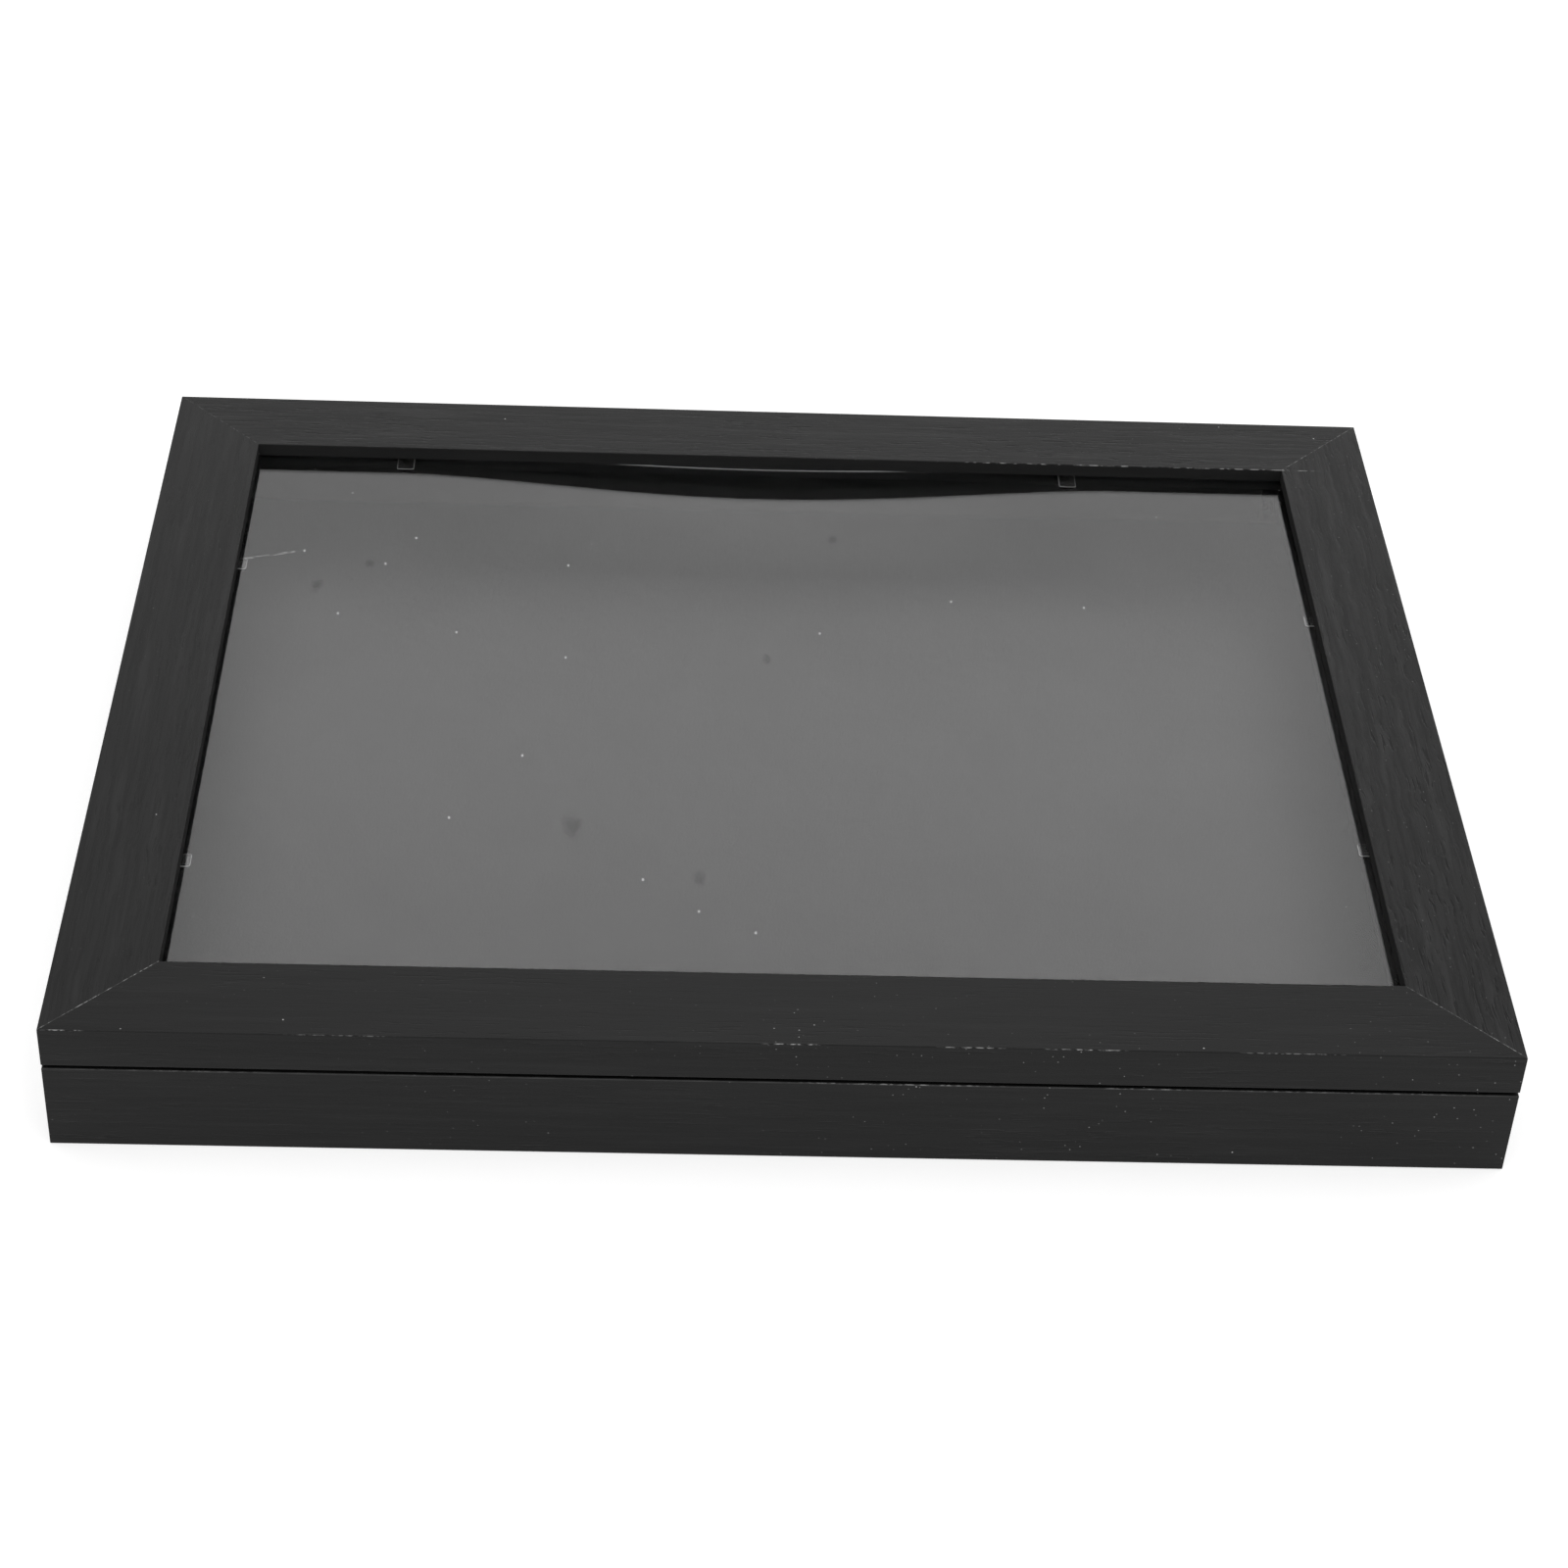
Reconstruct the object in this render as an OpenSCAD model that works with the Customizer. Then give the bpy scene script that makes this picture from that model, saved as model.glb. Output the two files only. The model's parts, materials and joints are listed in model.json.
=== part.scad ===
// Jersey display case: a shallow wooden box with a hinged, glazed door.
// It lies on its back. Z = 0 is the back of the box and +Z comes out of the door.
// X runs along the long sides. The hinges are on the +Y side.
// Hung on a wall, the +X side is the top.

/* [Box] */
// Length of the case along its long sides
case_w = 500; // [440:5:700]
// Length of the case along its short sides
case_h = 400; // [340:5:560]
// Depth of the box behind the door
box_depth = 34.6; // [32:0.2:60]
// Thickness of the box walls
wall_t = 16; // [15:0.5:22]
// Chamfer taken off the long edges of every wooden piece
arris = 0.3; // [0.2:0.1:1]

/* [Back] */
// How far the back board sits in from the back rim
back_recess = 6; // [5.5:0.5:9]
// Thickness of the back board
board_t = 4; // [3:0.5:6]
// Width of the rebate that takes the back board
back_rebate_w = 7; // [6:0.5:8]
// Gap between the back board and the rebate, each side
board_play = 0.5; // [0.2:0.1:0.9]
// Thickness of the felt on the back board
felt_t = 1.5; // [1:0.5:3]
// Gap between the felt and the walls, each side
felt_play = 0.5; // [0.2:0.1:0.9]
// Spacing of the back board screws along a side
board_screw_pitch = 125; // [80:5:140]
// Length of the back board screws
board_screw_l = 12; // [9:0.5:16]

/* [Door] */
// Face width of the door rails
rail_w = 36; // [32:1:60]
// Thickness of the door rails
door_t = 16; // [15:0.5:22]
// Gap between the closed door and the box
door_gap = 1.4; // [1.2:0.1:2.4]
// Thickness of the lip in front of the pane
lip_t = 5.6; // [4:0.1:6.5]
// Width of the rebate behind the lip
rebate_w = 8; // [6:0.5:10]

/* [Corner nails] */
// Length of each wing of a V nail
nail_wing = 4.5; // [3:0.5:5]
// Thickness of the V nails
nail_t = 0.5; // [0.3:0.1:0.8]
// Depth of the V nails
nail_depth = 8; // [5:1:10]
// From the outer corner of the box to its nail
box_nail_inset = 3; // [2:0.5:3.5]
// From the outer corner of the door to its first nail
door_nail_inset = 9; // [4:0.5:10]
// From the first to the second nail in a door corner
door_nail_pitch = 9; // [7:0.5:10]

/* [Pane] */
// Thickness of the clear pane
pane_t = 1.2; // [1:0.1:2]
// Gap between the pane and the rebate, each side
pane_edge_play = 1; // [0.5:0.1:2]
// Gap between the lip and the pane, which lies on its clips
lip_gap = 0.75; // [0.05:0.05:1]
// Gap between the pane and its clips
pane_play = 0.05; // [0.05:0.05:0.2]
// How far the pane droops at its back edge, between the two clips there
pane_sag = 4.4; // [0:0.2:6]
// How far in from the back edge the droop begins
sag_reach = 85; // [40:5:160]
// From the back rail's left clip to where the droop begins
sag_from_left = 2; // [0:0.5:20]
// How far the droop runs on past the back rail's right clip
sag_past_right = 18; // [0:0.5:25]

/* [Pane clips] */
// Width of a clip
clip_w = 7; // [6:0.5:10]
// Thickness of a clip
clip_t = 1.2; // [1:0.1:1.6]
// Height of the leg that is screwed to the rail
clip_leg = 7.5; // [7:0.1:7.8]
// How far the tongues on the long sides reach past the lip
clip_reach_long = 5.5; // [2:0.5:8]
// How far the tongues on the short sides reach past the lip
clip_reach_short = 3; // [2:0.5:8]
// Length of the clip screws
clip_screw_l = 8; // [6:0.5:12]
// From the left end to the front rail's left clip
clip_front_left = 105; // [60:1:160]
// From the right end to the front rail's right clip
clip_front_right = 105; // [60:1:160]
// From the front end to the right stile's front clip
clip_right_front = 119; // [60:1:140]
// From the back end to the right stile's back clip
clip_right_back = 136; // [60:1:140]
// From the right end to the back rail's right clip
clip_back_right = 126; // [60:1:160]
// From the left end to the back rail's left clip
clip_back_left = 97; // [60:1:160]
// From the back end to the left stile's back clip
clip_left_back = 114; // [60:1:140]
// From the front end to the left stile's front clip
clip_left_front = 99; // [60:1:140]

/* [Hinges] */
// From an end of the case to the middle of a hinge
hinge_inset = 88; // [60:1:130]
// Length of a hinge
leaf_l = 40; // [36:1:60]
// Width of a leaf, from its edge to the outside of the wood
leaf_w = 12; // [10:0.5:13]
// Gap between the two closed leaves
leaf_play = 0.1; // [0.1:0.05:0.3]
// Radius of the hinge barrel
barrel_r = 2; // [1.8:0.1:3]
// Gap between the barrel and the wood
barrel_play = 0.2; // [0.1:0.1:0.5]
// Length of the door's knuckle, in the middle of the barrel
knuckle_l = 14; // [10:1:18]
// Gap between knuckles
knuckle_gap = 0.3; // [0.2:0.05:0.5]
// Radius of the hinge pin
pin_r = 1; // [0.8:0.05:1.2]
// Radial play of the pin in the knuckles
pin_play = 0.05; // [0.03:0.01:0.1]
// Radius of the pin's heads
pin_head_r = 1.6; // [1.4:0.1:1.8]
// Height of the pin's heads
pin_head_h = 0.8; // [0.5:0.1:1.5]
// Spacing of the two screws in a leaf
leaf_screw_pitch = 24; // [20:1:28]
// Length of the hinge screws
hinge_screw_l = 9; // [6:0.5:12]

/* [Catch] */
// From an end of the case to the middle of a magnet
catch_inset = 130; // [60:5:160]
// Radius of a magnet
magnet_r = 4; // [3:0.5:6]
// Thickness of a magnet
magnet_t = 3; // [2:0.5:5]
// Radius of a strike disc
strike_r = 5; // [4:0.5:6]
// Thickness of a strike disc
strike_t = 1.5; // [1:0.25:3]
// From an end of the case to the middle of a bumper
bumper_inset = 25; // [20:1:50]
// Radius of a bumper
bumper_r = 4; // [3:0.5:6]
// Gap between a bumper and the closed door
bumper_play = 0.1; // [0.1:0.05:0.3]

/* [Hanging rod] */
// Radius of the rod
rod_r = 4; // [3:0.5:5]
// Chamfer on the ends of the rod
rod_chamfer = 0.5; // [0.2:0.1:1]
// Gap between the felt and the rod
rod_clear = 6; // [5:0.5:7]
// Gap at each end of the rod
rod_end_play = 0.5; // [0.3:0.1:0.9]
// Thickness of a cup's plate
cup_t = 2; // [1.5:0.1:3]
// From the inside of the top wall to a cup's plate
cup_inset = 1; // [0:0.5:30]
// Height of a cup's plate
cup_h = 16; // [14:0.5:17]
// Depth of the saddle that holds the rod
cup_depth = 7; // [5:0.5:12]
// Wall of the saddle
cup_wall = 2; // [1.5:0.1:2.2]
// Height of the saddle's arms over the middle of the rod
cup_rise = 3; // [2:0.5:3.5]
// Play of the rod in the saddle
cup_play = 0.15; // [0.1:0.05:0.3]
// Gap between a cup's screw heads and its saddle, and the plate's edge
cup_margin = 0.4; // [0.2:0.1:1]
// Length of the cup screws
cup_screw_l = 9; // [6:0.5:14]

/* [Wall hangers] */
// From the top of the hung case to the hinge of the D rings
hanger_drop = 80; // [60:5:160]
// Distance between the two D rings
hanger_spread = 240; // [160:5:280]
// Thickness of the folded strap's metal
strap_t = 0.8; // [0.6:0.1:1]
// Width of the strap
strap_w = 9; // [8:0.5:11]
// Length of the strap below the ring
strap_l = 22; // [18:1:30]
// Radius of the ring's wire
ring_wire_r = 1.2; // [0.8:0.1:1.3]
// Play of the wire in the strap's eye
ring_play = 0.05; // [0.03:0.01:0.1]
// Radius of the ring's bow
ring_r = 8; // [7.5:0.5:10]
// Straight length of the ring's sides
ring_leg = 2; // [1:0.5:5]
// Radius of the bends beside the ring's bar
ring_bend = 2.4; // [2:0.1:3]
// Radius of the rivet that holds a strap
rivet_r = 1.5; // [1.2:0.1:1.8]
// Radius of the rivet's head
rivet_head_r = 2.8; // [2.4:0.1:3.4]
// Height of the rivet's head
rivet_head_h = 1.2; // [0.8:0.1:1.4]
// How far the rivet's tail spreads
rivet_flare = 1; // [0.5:0.1:1.2]

/* [Screws] */
// Radius of a screw's shank
screw_r = 1; // [0.8:0.05:1.1]
// Radius of a pan head
pan_r = 2; // [1.7:0.1:2.2]
// Height of a pan head
pan_h = 1.2; // [0.9:0.1:1.5]
// Radius of a countersunk head
csk_r = 2.2; // [1.8:0.1:2.4]
// Length of a screw's point
point_l = 1.5; // [1:0.1:2]
// Depth of the cross in a screw's head
cross_depth = 0.7; // [0.4:0.05:0.8]
// Length of each bar of the cross
cross_l = 2.2; // [1.6:0.1:2.4]
// Width of each bar of the cross
cross_w = 0.5; // [0.3:0.05:0.7]
// Play round anything that is let into a hole
fit_play = 0.05; // [0.03:0.01:0.1]

/* [Hidden] */
$fn = 48;

// How far a cutting shape runs past the face that it cuts
over = 1;
// The sides in order, each a quarter turn on from the one before
SIDES = ["front", "right", "back", "left"];
HANDS = ["left", "right"];
ENDS = ["front", "back"];

// Heights from the back of the case to its front
board_top = back_recess + board_t;
felt_top = board_top + felt_t;
door_z = box_depth + door_gap;
door_top = door_z + door_t;
lip_z = door_top - lip_t;
pane_top = lip_z - lip_gap;
clip_top = pane_top - pane_t - pane_play;

// Widths worked out from the wooden sections
rim_w = wall_t - back_rebate_w;
rim_mid = wall_t / 2;
rail_back_w = rail_w - rebate_w;
pane_w = case_w - 2 * (rail_back_w + pane_edge_play);
pane_h = case_h - 2 * (rail_back_w + pane_edge_play);

// The hinge axis, and the leaves that fill the gap below the door
hinge_y = case_h / 2 + barrel_r + barrel_play;
hinge_z = box_depth + door_gap / 2;
leaf_t = (door_gap - leaf_play) / 2;
leaf_run = leaf_w + barrel_r + barrel_play;
leaf_screw_y = barrel_r + barrel_play + leaf_w / 2;

// The hanging rod and its saddles
saddle_r = rod_r + cup_play;
saddle_outer_r = saddle_r + cup_wall;
cup_screw_x = saddle_outer_r + cup_margin + pan_r;
cup_w = 2 * (cup_screw_x + pan_r + cup_margin);
rod_x = case_w / 2 - wall_t - cup_inset - cup_w / 2;
rod_z = felt_top + rod_clear + rod_r;
rod_l = case_h - 2 * (wall_t + cup_t + rod_end_play);

// The wall hangers
eye_r = ring_wire_r + ring_play + strap_t;
rivet_x = strap_l - strap_w / 2;
rivet_tail_r = rivet_r + rivet_flare;

// Where the clip screws go through the clips' legs
clip_screw_drop = (clip_leg + clip_t) / 2;

// Each clip's side, and its place along that side as on_side() turns it
CLIPS = [
    ["front", clip_front_left - case_w / 2],
    ["front", case_w / 2 - clip_front_right],
    ["right", clip_right_front - case_h / 2],
    ["right", case_h / 2 - clip_right_back],
    ["back", clip_back_right - case_w / 2],
    ["back", case_w / 2 - clip_back_left],
    ["left", clip_left_back - case_h / 2],
    ["left", case_h / 2 - clip_left_front],
];

// The stretch of the pane's back edge that droops, and the curve of the droop along it and in from it
sag_left = clip_back_left + sag_from_left - case_w / 2;
sag_right = case_w / 2 - clip_back_right + sag_past_right;
sag_swell = 1.5;
sag_fade = 1.3;
sag_columns = 24;
sag_rows = 10;

long_side_screw_count = 4;
short_side_screw_count = 2;

black_wood = [0.06, 0.06, 0.065];
steel = [0.72, 0.73, 0.75];
dark_steel = [0.2, 0.2, 0.21];
clear_plastic = [0.85, 0.88, 0.9, 0.5];
black_felt = [0.03, 0.03, 0.035];
board_brown = [0.45, 0.33, 0.22];

// Places

function is_long(side) = side == "front" || side == "back";
function side_span(side) = is_long(side) ? case_w : case_h;
function side_reach(side) = is_long(side) ? case_h : case_w;
function hand_sign(hand) = hand == 0 ? -1 : 1;

// Along a side: X runs along it, Y runs inwards from its outer face
module on_side(side) {
    rotate(90 * search([side], SIDES)[0])
        translate([0, -side_reach(side) / 2, 0])
            children();
}

// The outer corners, with X and Y running inwards
module at_corners() {
    for (flip_x = [0, 1], flip_y = [0, 1])
        mirror([flip_x, 0, 0])
            mirror([0, flip_y, 0])
                translate([-case_w / 2, -case_h / 2, 0])
                    children();
}

// How far the pane has drooped at the lower edge of a clip
function clip_dip(i) =
    CLIPS[i][0] == "back"
    ? pane_sag * max([for (edge = [-1, 1]) sag_across(edge * clip_w / 2 - CLIPS[i][1])]) : 0;

// A clip's seat: Y runs inwards from the rebate's wall, Z = 0 is the top of the clip
module at_clip(i) {
    on_side(CLIPS[i][0])
        translate([CLIPS[i][1], rail_back_w, clip_top - clip_dip(i)])
            children();
}

module at_clip_screws() {
    for (i = [0:len(CLIPS) - 1])
        at_clip(i)
            translate([0, clip_t, -clip_screw_drop])
                rotate([-90, 0, 0])
                    children();
}

// The middle of a hinge, on its axis
module at_hinge(hand) {
    translate([hand_sign(hand) * (case_w / 2 - hinge_inset), hinge_y, hinge_z])
        children();
}

module at_leaf_screws() {
    for (hand = [0, 1], end = [-1, 1])
        at_hinge(hand)
            translate([end * leaf_screw_pitch / 2, -leaf_screw_y, 0])
                children();
}

module at_case_leaf_screws() {
    at_leaf_screws()
        translate([0, 0, -leaf_play / 2])
            children();
}

module at_door_leaf_screws() {
    at_leaf_screws()
        translate([0, 0, leaf_play / 2])
            rotate([180, 0, 0])
                children();
}

module at_catch(hand, height) {
    translate([hand_sign(hand) * (case_w / 2 - catch_inset), rim_mid - case_h / 2, height])
        children();
}

// A cup's seat on the inside of a wall, with Y running inwards
module at_cup(end) {
    mirror([0, end, 0])
        translate([rod_x, wall_t - case_h / 2, rod_z])
            children();
}

module at_cup_screws() {
    for (end = [0, 1], side = [-1, 1])
        at_cup(end)
            translate([side * cup_screw_x, cup_t, 0])
                rotate([-90, 0, 0])
                    children();
}

// The back board's screws, with their heads towards the wall that the case hangs on
module at_board_screws() {
    for (side = SIDES) {
        count = is_long(side) ? long_side_screw_count : short_side_screw_count;
        for (i = [0:count - 1])
            on_side(side)
                translate([
                    (i - (count - 1) / 2) * board_screw_pitch,
                    wall_t - back_rebate_w / 2, back_recess
                ])
                    rotate([180, 0, 0])
                        children();
    }
}

// A hanger's ring bar, with Z = 0 on the back of the board
module at_hanger(hand) {
    translate([case_w / 2 - hanger_drop, hand_sign(hand) * hanger_spread / 2, back_recess])
        children();
}

// Shapes that repeat

module cross_recess() {
    for (turn = [0, 90])
        rotate(turn)
            translate([-cross_l / 2, -cross_w / 2, -cross_depth])
                cube([cross_l, cross_w, cross_depth + over]);
}

// Wood screw with a pan head that bears on Z = 0
module pan_screw(length) {
    difference() {
        rotate_extrude()
            polygon([
                [0, pan_h], [pan_r / 2, pan_h], [pan_r, pan_h / 2], [pan_r, 0],
                [screw_r, 0], [screw_r, point_l - length], [0, -length]
            ]);
        translate([0, 0, pan_h]) cross_recess();
    }
}

// Wood screw with a countersunk head that is flush at Z = 0
module csk_screw(length) {
    difference() {
        rotate_extrude()
            polygon([
                [0, 0], [csk_r, 0], [screw_r, screw_r - csk_r],
                [screw_r, point_l - length], [0, -length]
            ]);
        cross_recess();
    }
}

module pan_hole(length) {
    translate([0, 0, -length - fit_play])
        cylinder(r = screw_r + fit_play, h = length + fit_play + over);
}

module csk_hole(length) {
    pan_hole(length);
    rotate_extrude()
        polygon([
            [0, over], [csk_r + fit_play, over], [csk_r + fit_play, 0],
            [screw_r + fit_play, screw_r - csk_r], [0, screw_r - csk_r]
        ]);
}

// A wooden section along one side, cut at 45 degrees at both ends
module mitred(side, section, width, height) {
    span = side_span(side);
    on_side(side)
        intersection() {
            rotate([90, 0, 90])
                linear_extrude(span + 2 * over, center = true)
                    polygon(section);
            translate([0, 0, -over])
                linear_extrude(height + 2 * over)
                    polygon([
                        [-span / 2 - over, -over], [span / 2 + over, -over],
                        [span / 2 - width - over, width + over],
                        [width + over - span / 2, width + over]
                    ]);
        }
}

module v_nail() {
    cube([nail_wing, nail_t, nail_depth]);
    cube([nail_t, nail_wing, nail_depth]);
}

module box_nails() {
    at_corners()
        translate([box_nail_inset, box_nail_inset, 0])
            v_nail();
}

module door_nails() {
    for (step = [0, 1])
        at_corners()
            translate([
                door_nail_inset + step * door_nail_pitch,
                door_nail_inset + step * door_nail_pitch, door_z
            ])
                v_nail();
}

// The box

box_section = [
    [arris, 0], [rim_w, 0], [rim_w, board_top], [wall_t, board_top],
    [wall_t, box_depth - arris], [wall_t - arris, box_depth],
    [arris, box_depth], [0, box_depth - arris], [0, arris]
];

module case_wall(side) {
    color(black_wood)
        difference() {
            mitred(side, box_section, wall_t, box_depth);
            box_nails();
            at_board_screws() pan_hole(board_screw_l);
            if (side == "back") at_case_leaf_screws() csk_hole(hinge_screw_l);
            if (side == "front") {
                for (hand = [0, 1])
                    at_catch(hand, box_depth - magnet_t)
                        cylinder(r = magnet_r + fit_play, h = magnet_t + over);
            }
            if (is_long(side)) at_cup_screws() pan_hole(cup_screw_l);
        }
}

module case_corner_nails() {
    color(steel) box_nails();
}

module back_board() {
    size_x = case_w - 2 * (rim_w + board_play);
    size_y = case_h - 2 * (rim_w + board_play);
    color(board_brown)
        difference() {
            translate([-size_x / 2, -size_y / 2, back_recess])
                cube([size_x, size_y, board_t]);
            at_board_screws() pan_hole(board_screw_l);
            for (hand = [0, 1])
                at_hanger(hand) rivet(fit_play);
        }
}

module back_board_screws() {
    color(dark_steel) at_board_screws() pan_screw(board_screw_l);
}

module felt_lining() {
    size_x = case_w - 2 * (wall_t + felt_play);
    size_y = case_h - 2 * (wall_t + felt_play);
    color(black_felt)
        translate([-size_x / 2, -size_y / 2, board_top])
            cube([size_x, size_y, felt_t]);
}

// The door

door_section = [
    [arris, 0], [rail_back_w, 0], [rail_back_w, door_t - lip_t], [rail_w, door_t - lip_t],
    [rail_w, door_t - arris], [rail_w - arris, door_t],
    [arris, door_t], [0, door_t - arris], [0, arris]
];

module door_rail(side) {
    color(black_wood)
        difference() {
            translate([0, 0, door_z]) mitred(side, door_section, rail_w, door_t);
            door_nails();
            at_clip_screws() pan_hole(clip_screw_l);
            if (side == "back") at_door_leaf_screws() csk_hole(hinge_screw_l);
            if (side == "front") {
                for (hand = [0, 1])
                    at_catch(hand, door_z - over)
                        cylinder(r = strike_r + fit_play, h = strike_t + over);
            }
        }
}

module door_corner_nails() {
    color(steel) door_nails();
}

// The droop is a smooth swell between the clips that fades out towards the front
function sag_across(x) =
    x <= sag_left || x >= sag_right ? 0
    : pow(sin(180 * (x - sag_left) / (sag_right - sag_left)), sag_swell);
function sag_along(y) = pow(max(0, y - pane_h / 2 + sag_reach) / sag_reach, sag_fade);
function pane_height(x, y) = pane_top - pane_sag * sag_across(x) * sag_along(y);

module pane() {
    xs = concat(
        [-pane_w / 2],
        [for (i = [0:sag_columns]) sag_left + (sag_right - sag_left) * i / sag_columns],
        [pane_w / 2]
    );
    ys = concat(
        [-pane_h / 2],
        [for (j = [0:sag_rows]) pane_h / 2 - sag_reach * (1 - j / sag_rows)]
    );
    nx = len(xs);
    ny = len(ys);
    under = nx * ny;
    points = [for (drop = [0, pane_t], y = ys, x = xs) [x, y, pane_height(x, y) - drop]];
    faces = concat(
        [for (j = [0:ny - 2], i = [0:nx - 2]) let (a = j * nx + i, d = a + nx)
            each [[a, d, d + 1], [a, d + 1, a + 1]]],
        [for (j = [0:ny - 2], i = [0:nx - 2]) let (a = under + j * nx + i, d = a + nx)
            each [[a, d + 1, d], [a, a + 1, d + 1]]],
        [for (i = [0:nx - 2]) let (a = i, b = i + 1)
            each [[a, b, b + under], [a, b + under, a + under]]],
        [for (i = [0:nx - 2]) let (a = under - nx + i, b = a + 1)
            each [[b, a, a + under], [b, a + under, b + under]]],
        [for (j = [0:ny - 2]) let (a = j * nx, d = a + nx)
            each [[d, a, a + under], [d, a + under, d + under]]],
        [for (j = [0:ny - 2]) let (a = j * nx + nx - 1, d = a + nx)
            each [[a, d, d + under], [a, d + under, a + under]]]
    );
    color(clear_plastic) polyhedron(points, faces);
}

// Clear L-shaped clip: its leg is screwed to the rail and its tongue holds the pane up
module pane_clip(i) {
    tongue = rebate_w + (is_long(CLIPS[i][0]) ? clip_reach_long : clip_reach_short);
    color(clear_plastic)
        difference() {
            at_clip(i)
                rotate([90, 0, 90])
                    linear_extrude(clip_w, center = true)
                        polygon([
                            [0, 0], [0, -clip_leg], [clip_t, -clip_leg], [clip_t, -clip_t],
                            [tongue - clip_t / 2, -clip_t], [tongue, -clip_t / 2], [tongue, 0]
                        ]);
            at_clip_screws() pan_hole(clip_screw_l);
        }
}

module pane_clip_screws() {
    color(dark_steel) at_clip_screws() pan_screw(clip_screw_l);
}

// The hinges

module knuckle(from, to) {
    translate([from, 0, 0])
        rotate([0, 90, 0])
            cylinder(r = barrel_r, h = to - from);
}

module pin_bore() {
    rotate([0, 90, 0])
        cylinder(r = pin_r + pin_play, h = leaf_l + 2 * over, center = true);
}

// Room for the other leaf's knuckle, from one place along the barrel to another
module knuckle_room(from, to) {
    reach = barrel_r + knuckle_gap;
    translate([from, -reach, -reach])
        cube([to - from, 2 * reach, 2 * reach]);
}

module case_hinge_leaf(hand) {
    inner = knuckle_l / 2 + knuckle_gap;
    color(steel)
        difference() {
            at_hinge(hand)
                difference() {
                    union() {
                        translate([-leaf_l / 2, -leaf_run, -leaf_play / 2 - leaf_t])
                            cube([leaf_l, leaf_run, leaf_t]);
                        knuckle(-leaf_l / 2, -inner);
                        knuckle(inner, leaf_l / 2);
                    }
                    knuckle_room(-inner, inner);
                    pin_bore();
                }
            at_case_leaf_screws() csk_hole(hinge_screw_l);
        }
}

module door_hinge_leaf(hand) {
    inner = knuckle_l / 2;
    color(steel)
        difference() {
            at_hinge(hand)
                difference() {
                    union() {
                        translate([-leaf_l / 2, -leaf_run, leaf_play / 2])
                            cube([leaf_l, leaf_run, leaf_t]);
                        knuckle(-inner, inner);
                    }
                    knuckle_room(-leaf_l / 2 - over, -inner);
                    knuckle_room(inner, leaf_l / 2 + over);
                    pin_bore();
                }
            at_door_leaf_screws() csk_hole(hinge_screw_l);
        }
}

module hinge_pin(hand) {
    half = leaf_l / 2;
    color(steel)
        at_hinge(hand)
            rotate([0, 90, 0])
                rotate_extrude()
                    polygon([
                        [0, -half - pin_head_h], [pin_head_r, -half - pin_head_h], [pin_head_r, -half],
                        [pin_r, -half], [pin_r, half],
                        [pin_head_r, half], [pin_head_r, half + pin_head_h], [0, half + pin_head_h]
                    ]);
}

module case_hinge_screws() {
    color(steel) at_case_leaf_screws() csk_screw(hinge_screw_l);
}

module door_hinge_screws() {
    color(steel) at_door_leaf_screws() csk_screw(hinge_screw_l);
}

// The catch

module catch_magnet(hand) {
    color(steel)
        at_catch(hand, box_depth - magnet_t)
            cylinder(r = magnet_r, h = magnet_t);
}

module strike_disc(hand) {
    color(steel)
        at_catch(hand, door_z)
            cylinder(r = strike_r, h = strike_t);
}

module bumper(hand) {
    color(clear_plastic)
        translate([hand_sign(hand) * (case_w / 2 - bumper_inset), rim_mid - case_h / 2, box_depth])
            cylinder(r = bumper_r, h = door_gap - bumper_play);
}

// The hanging rod

module hanging_rod() {
    half = rod_l / 2;
    color(black_wood)
        translate([rod_x, 0, rod_z])
            rotate([90, 0, 0])
                rotate_extrude()
                    polygon([
                        [0, -half], [rod_r - rod_chamfer, -half], [rod_r, rod_chamfer - half],
                        [rod_r, half - rod_chamfer], [rod_r - rod_chamfer, half], [0, half]
                    ]);
}

// Half-round seat with two arms, open at the top
module saddle() {
    depth = cup_t + cup_depth;
    difference() {
        union() {
            rotate([-90, 0, 0]) cylinder(r = saddle_outer_r, h = depth);
            translate([-saddle_outer_r, 0, 0]) cube([2 * saddle_outer_r, depth, cup_rise]);
        }
        translate([-saddle_outer_r - over, -over, cup_rise])
            cube([2 * (saddle_outer_r + over), depth + 2 * over, saddle_outer_r]);
        translate([0, cup_t, 0])
            rotate([-90, 0, 0])
                cylinder(r = saddle_r, h = cup_depth + over);
        translate([-saddle_r, cup_t, 0])
            cube([2 * saddle_r, cup_depth + over, cup_rise + over]);
    }
}

module rod_cup(end) {
    color(black_wood)
        difference() {
            at_cup(end) {
                translate([-cup_w / 2, 0, -cup_h / 2]) cube([cup_w, cup_t, cup_h]);
                saddle();
            }
            at_cup_screws() pan_hole(cup_screw_l);
        }
}

module rod_cup_screws() {
    color(dark_steel) at_cup_screws() pan_screw(cup_screw_l);
}

// The wall hangers

// Rivet through a strap and the back board, grown by some play where it is a hole
module rivet(play) {
    strap_face = -2 * strap_t;
    translate([-rivet_x, 0, 0])
        rotate_extrude()
            polygon([
                [0, strap_face - rivet_head_h], [rivet_head_r / 2, strap_face - rivet_head_h],
                [rivet_head_r, strap_face - rivet_head_h / 2], [rivet_head_r, strap_face],
                [rivet_r + play, strap_face], [rivet_r + play, board_t - rivet_flare],
                [rivet_tail_r + play, board_t], [0, board_t]
            ]);
}

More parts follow.
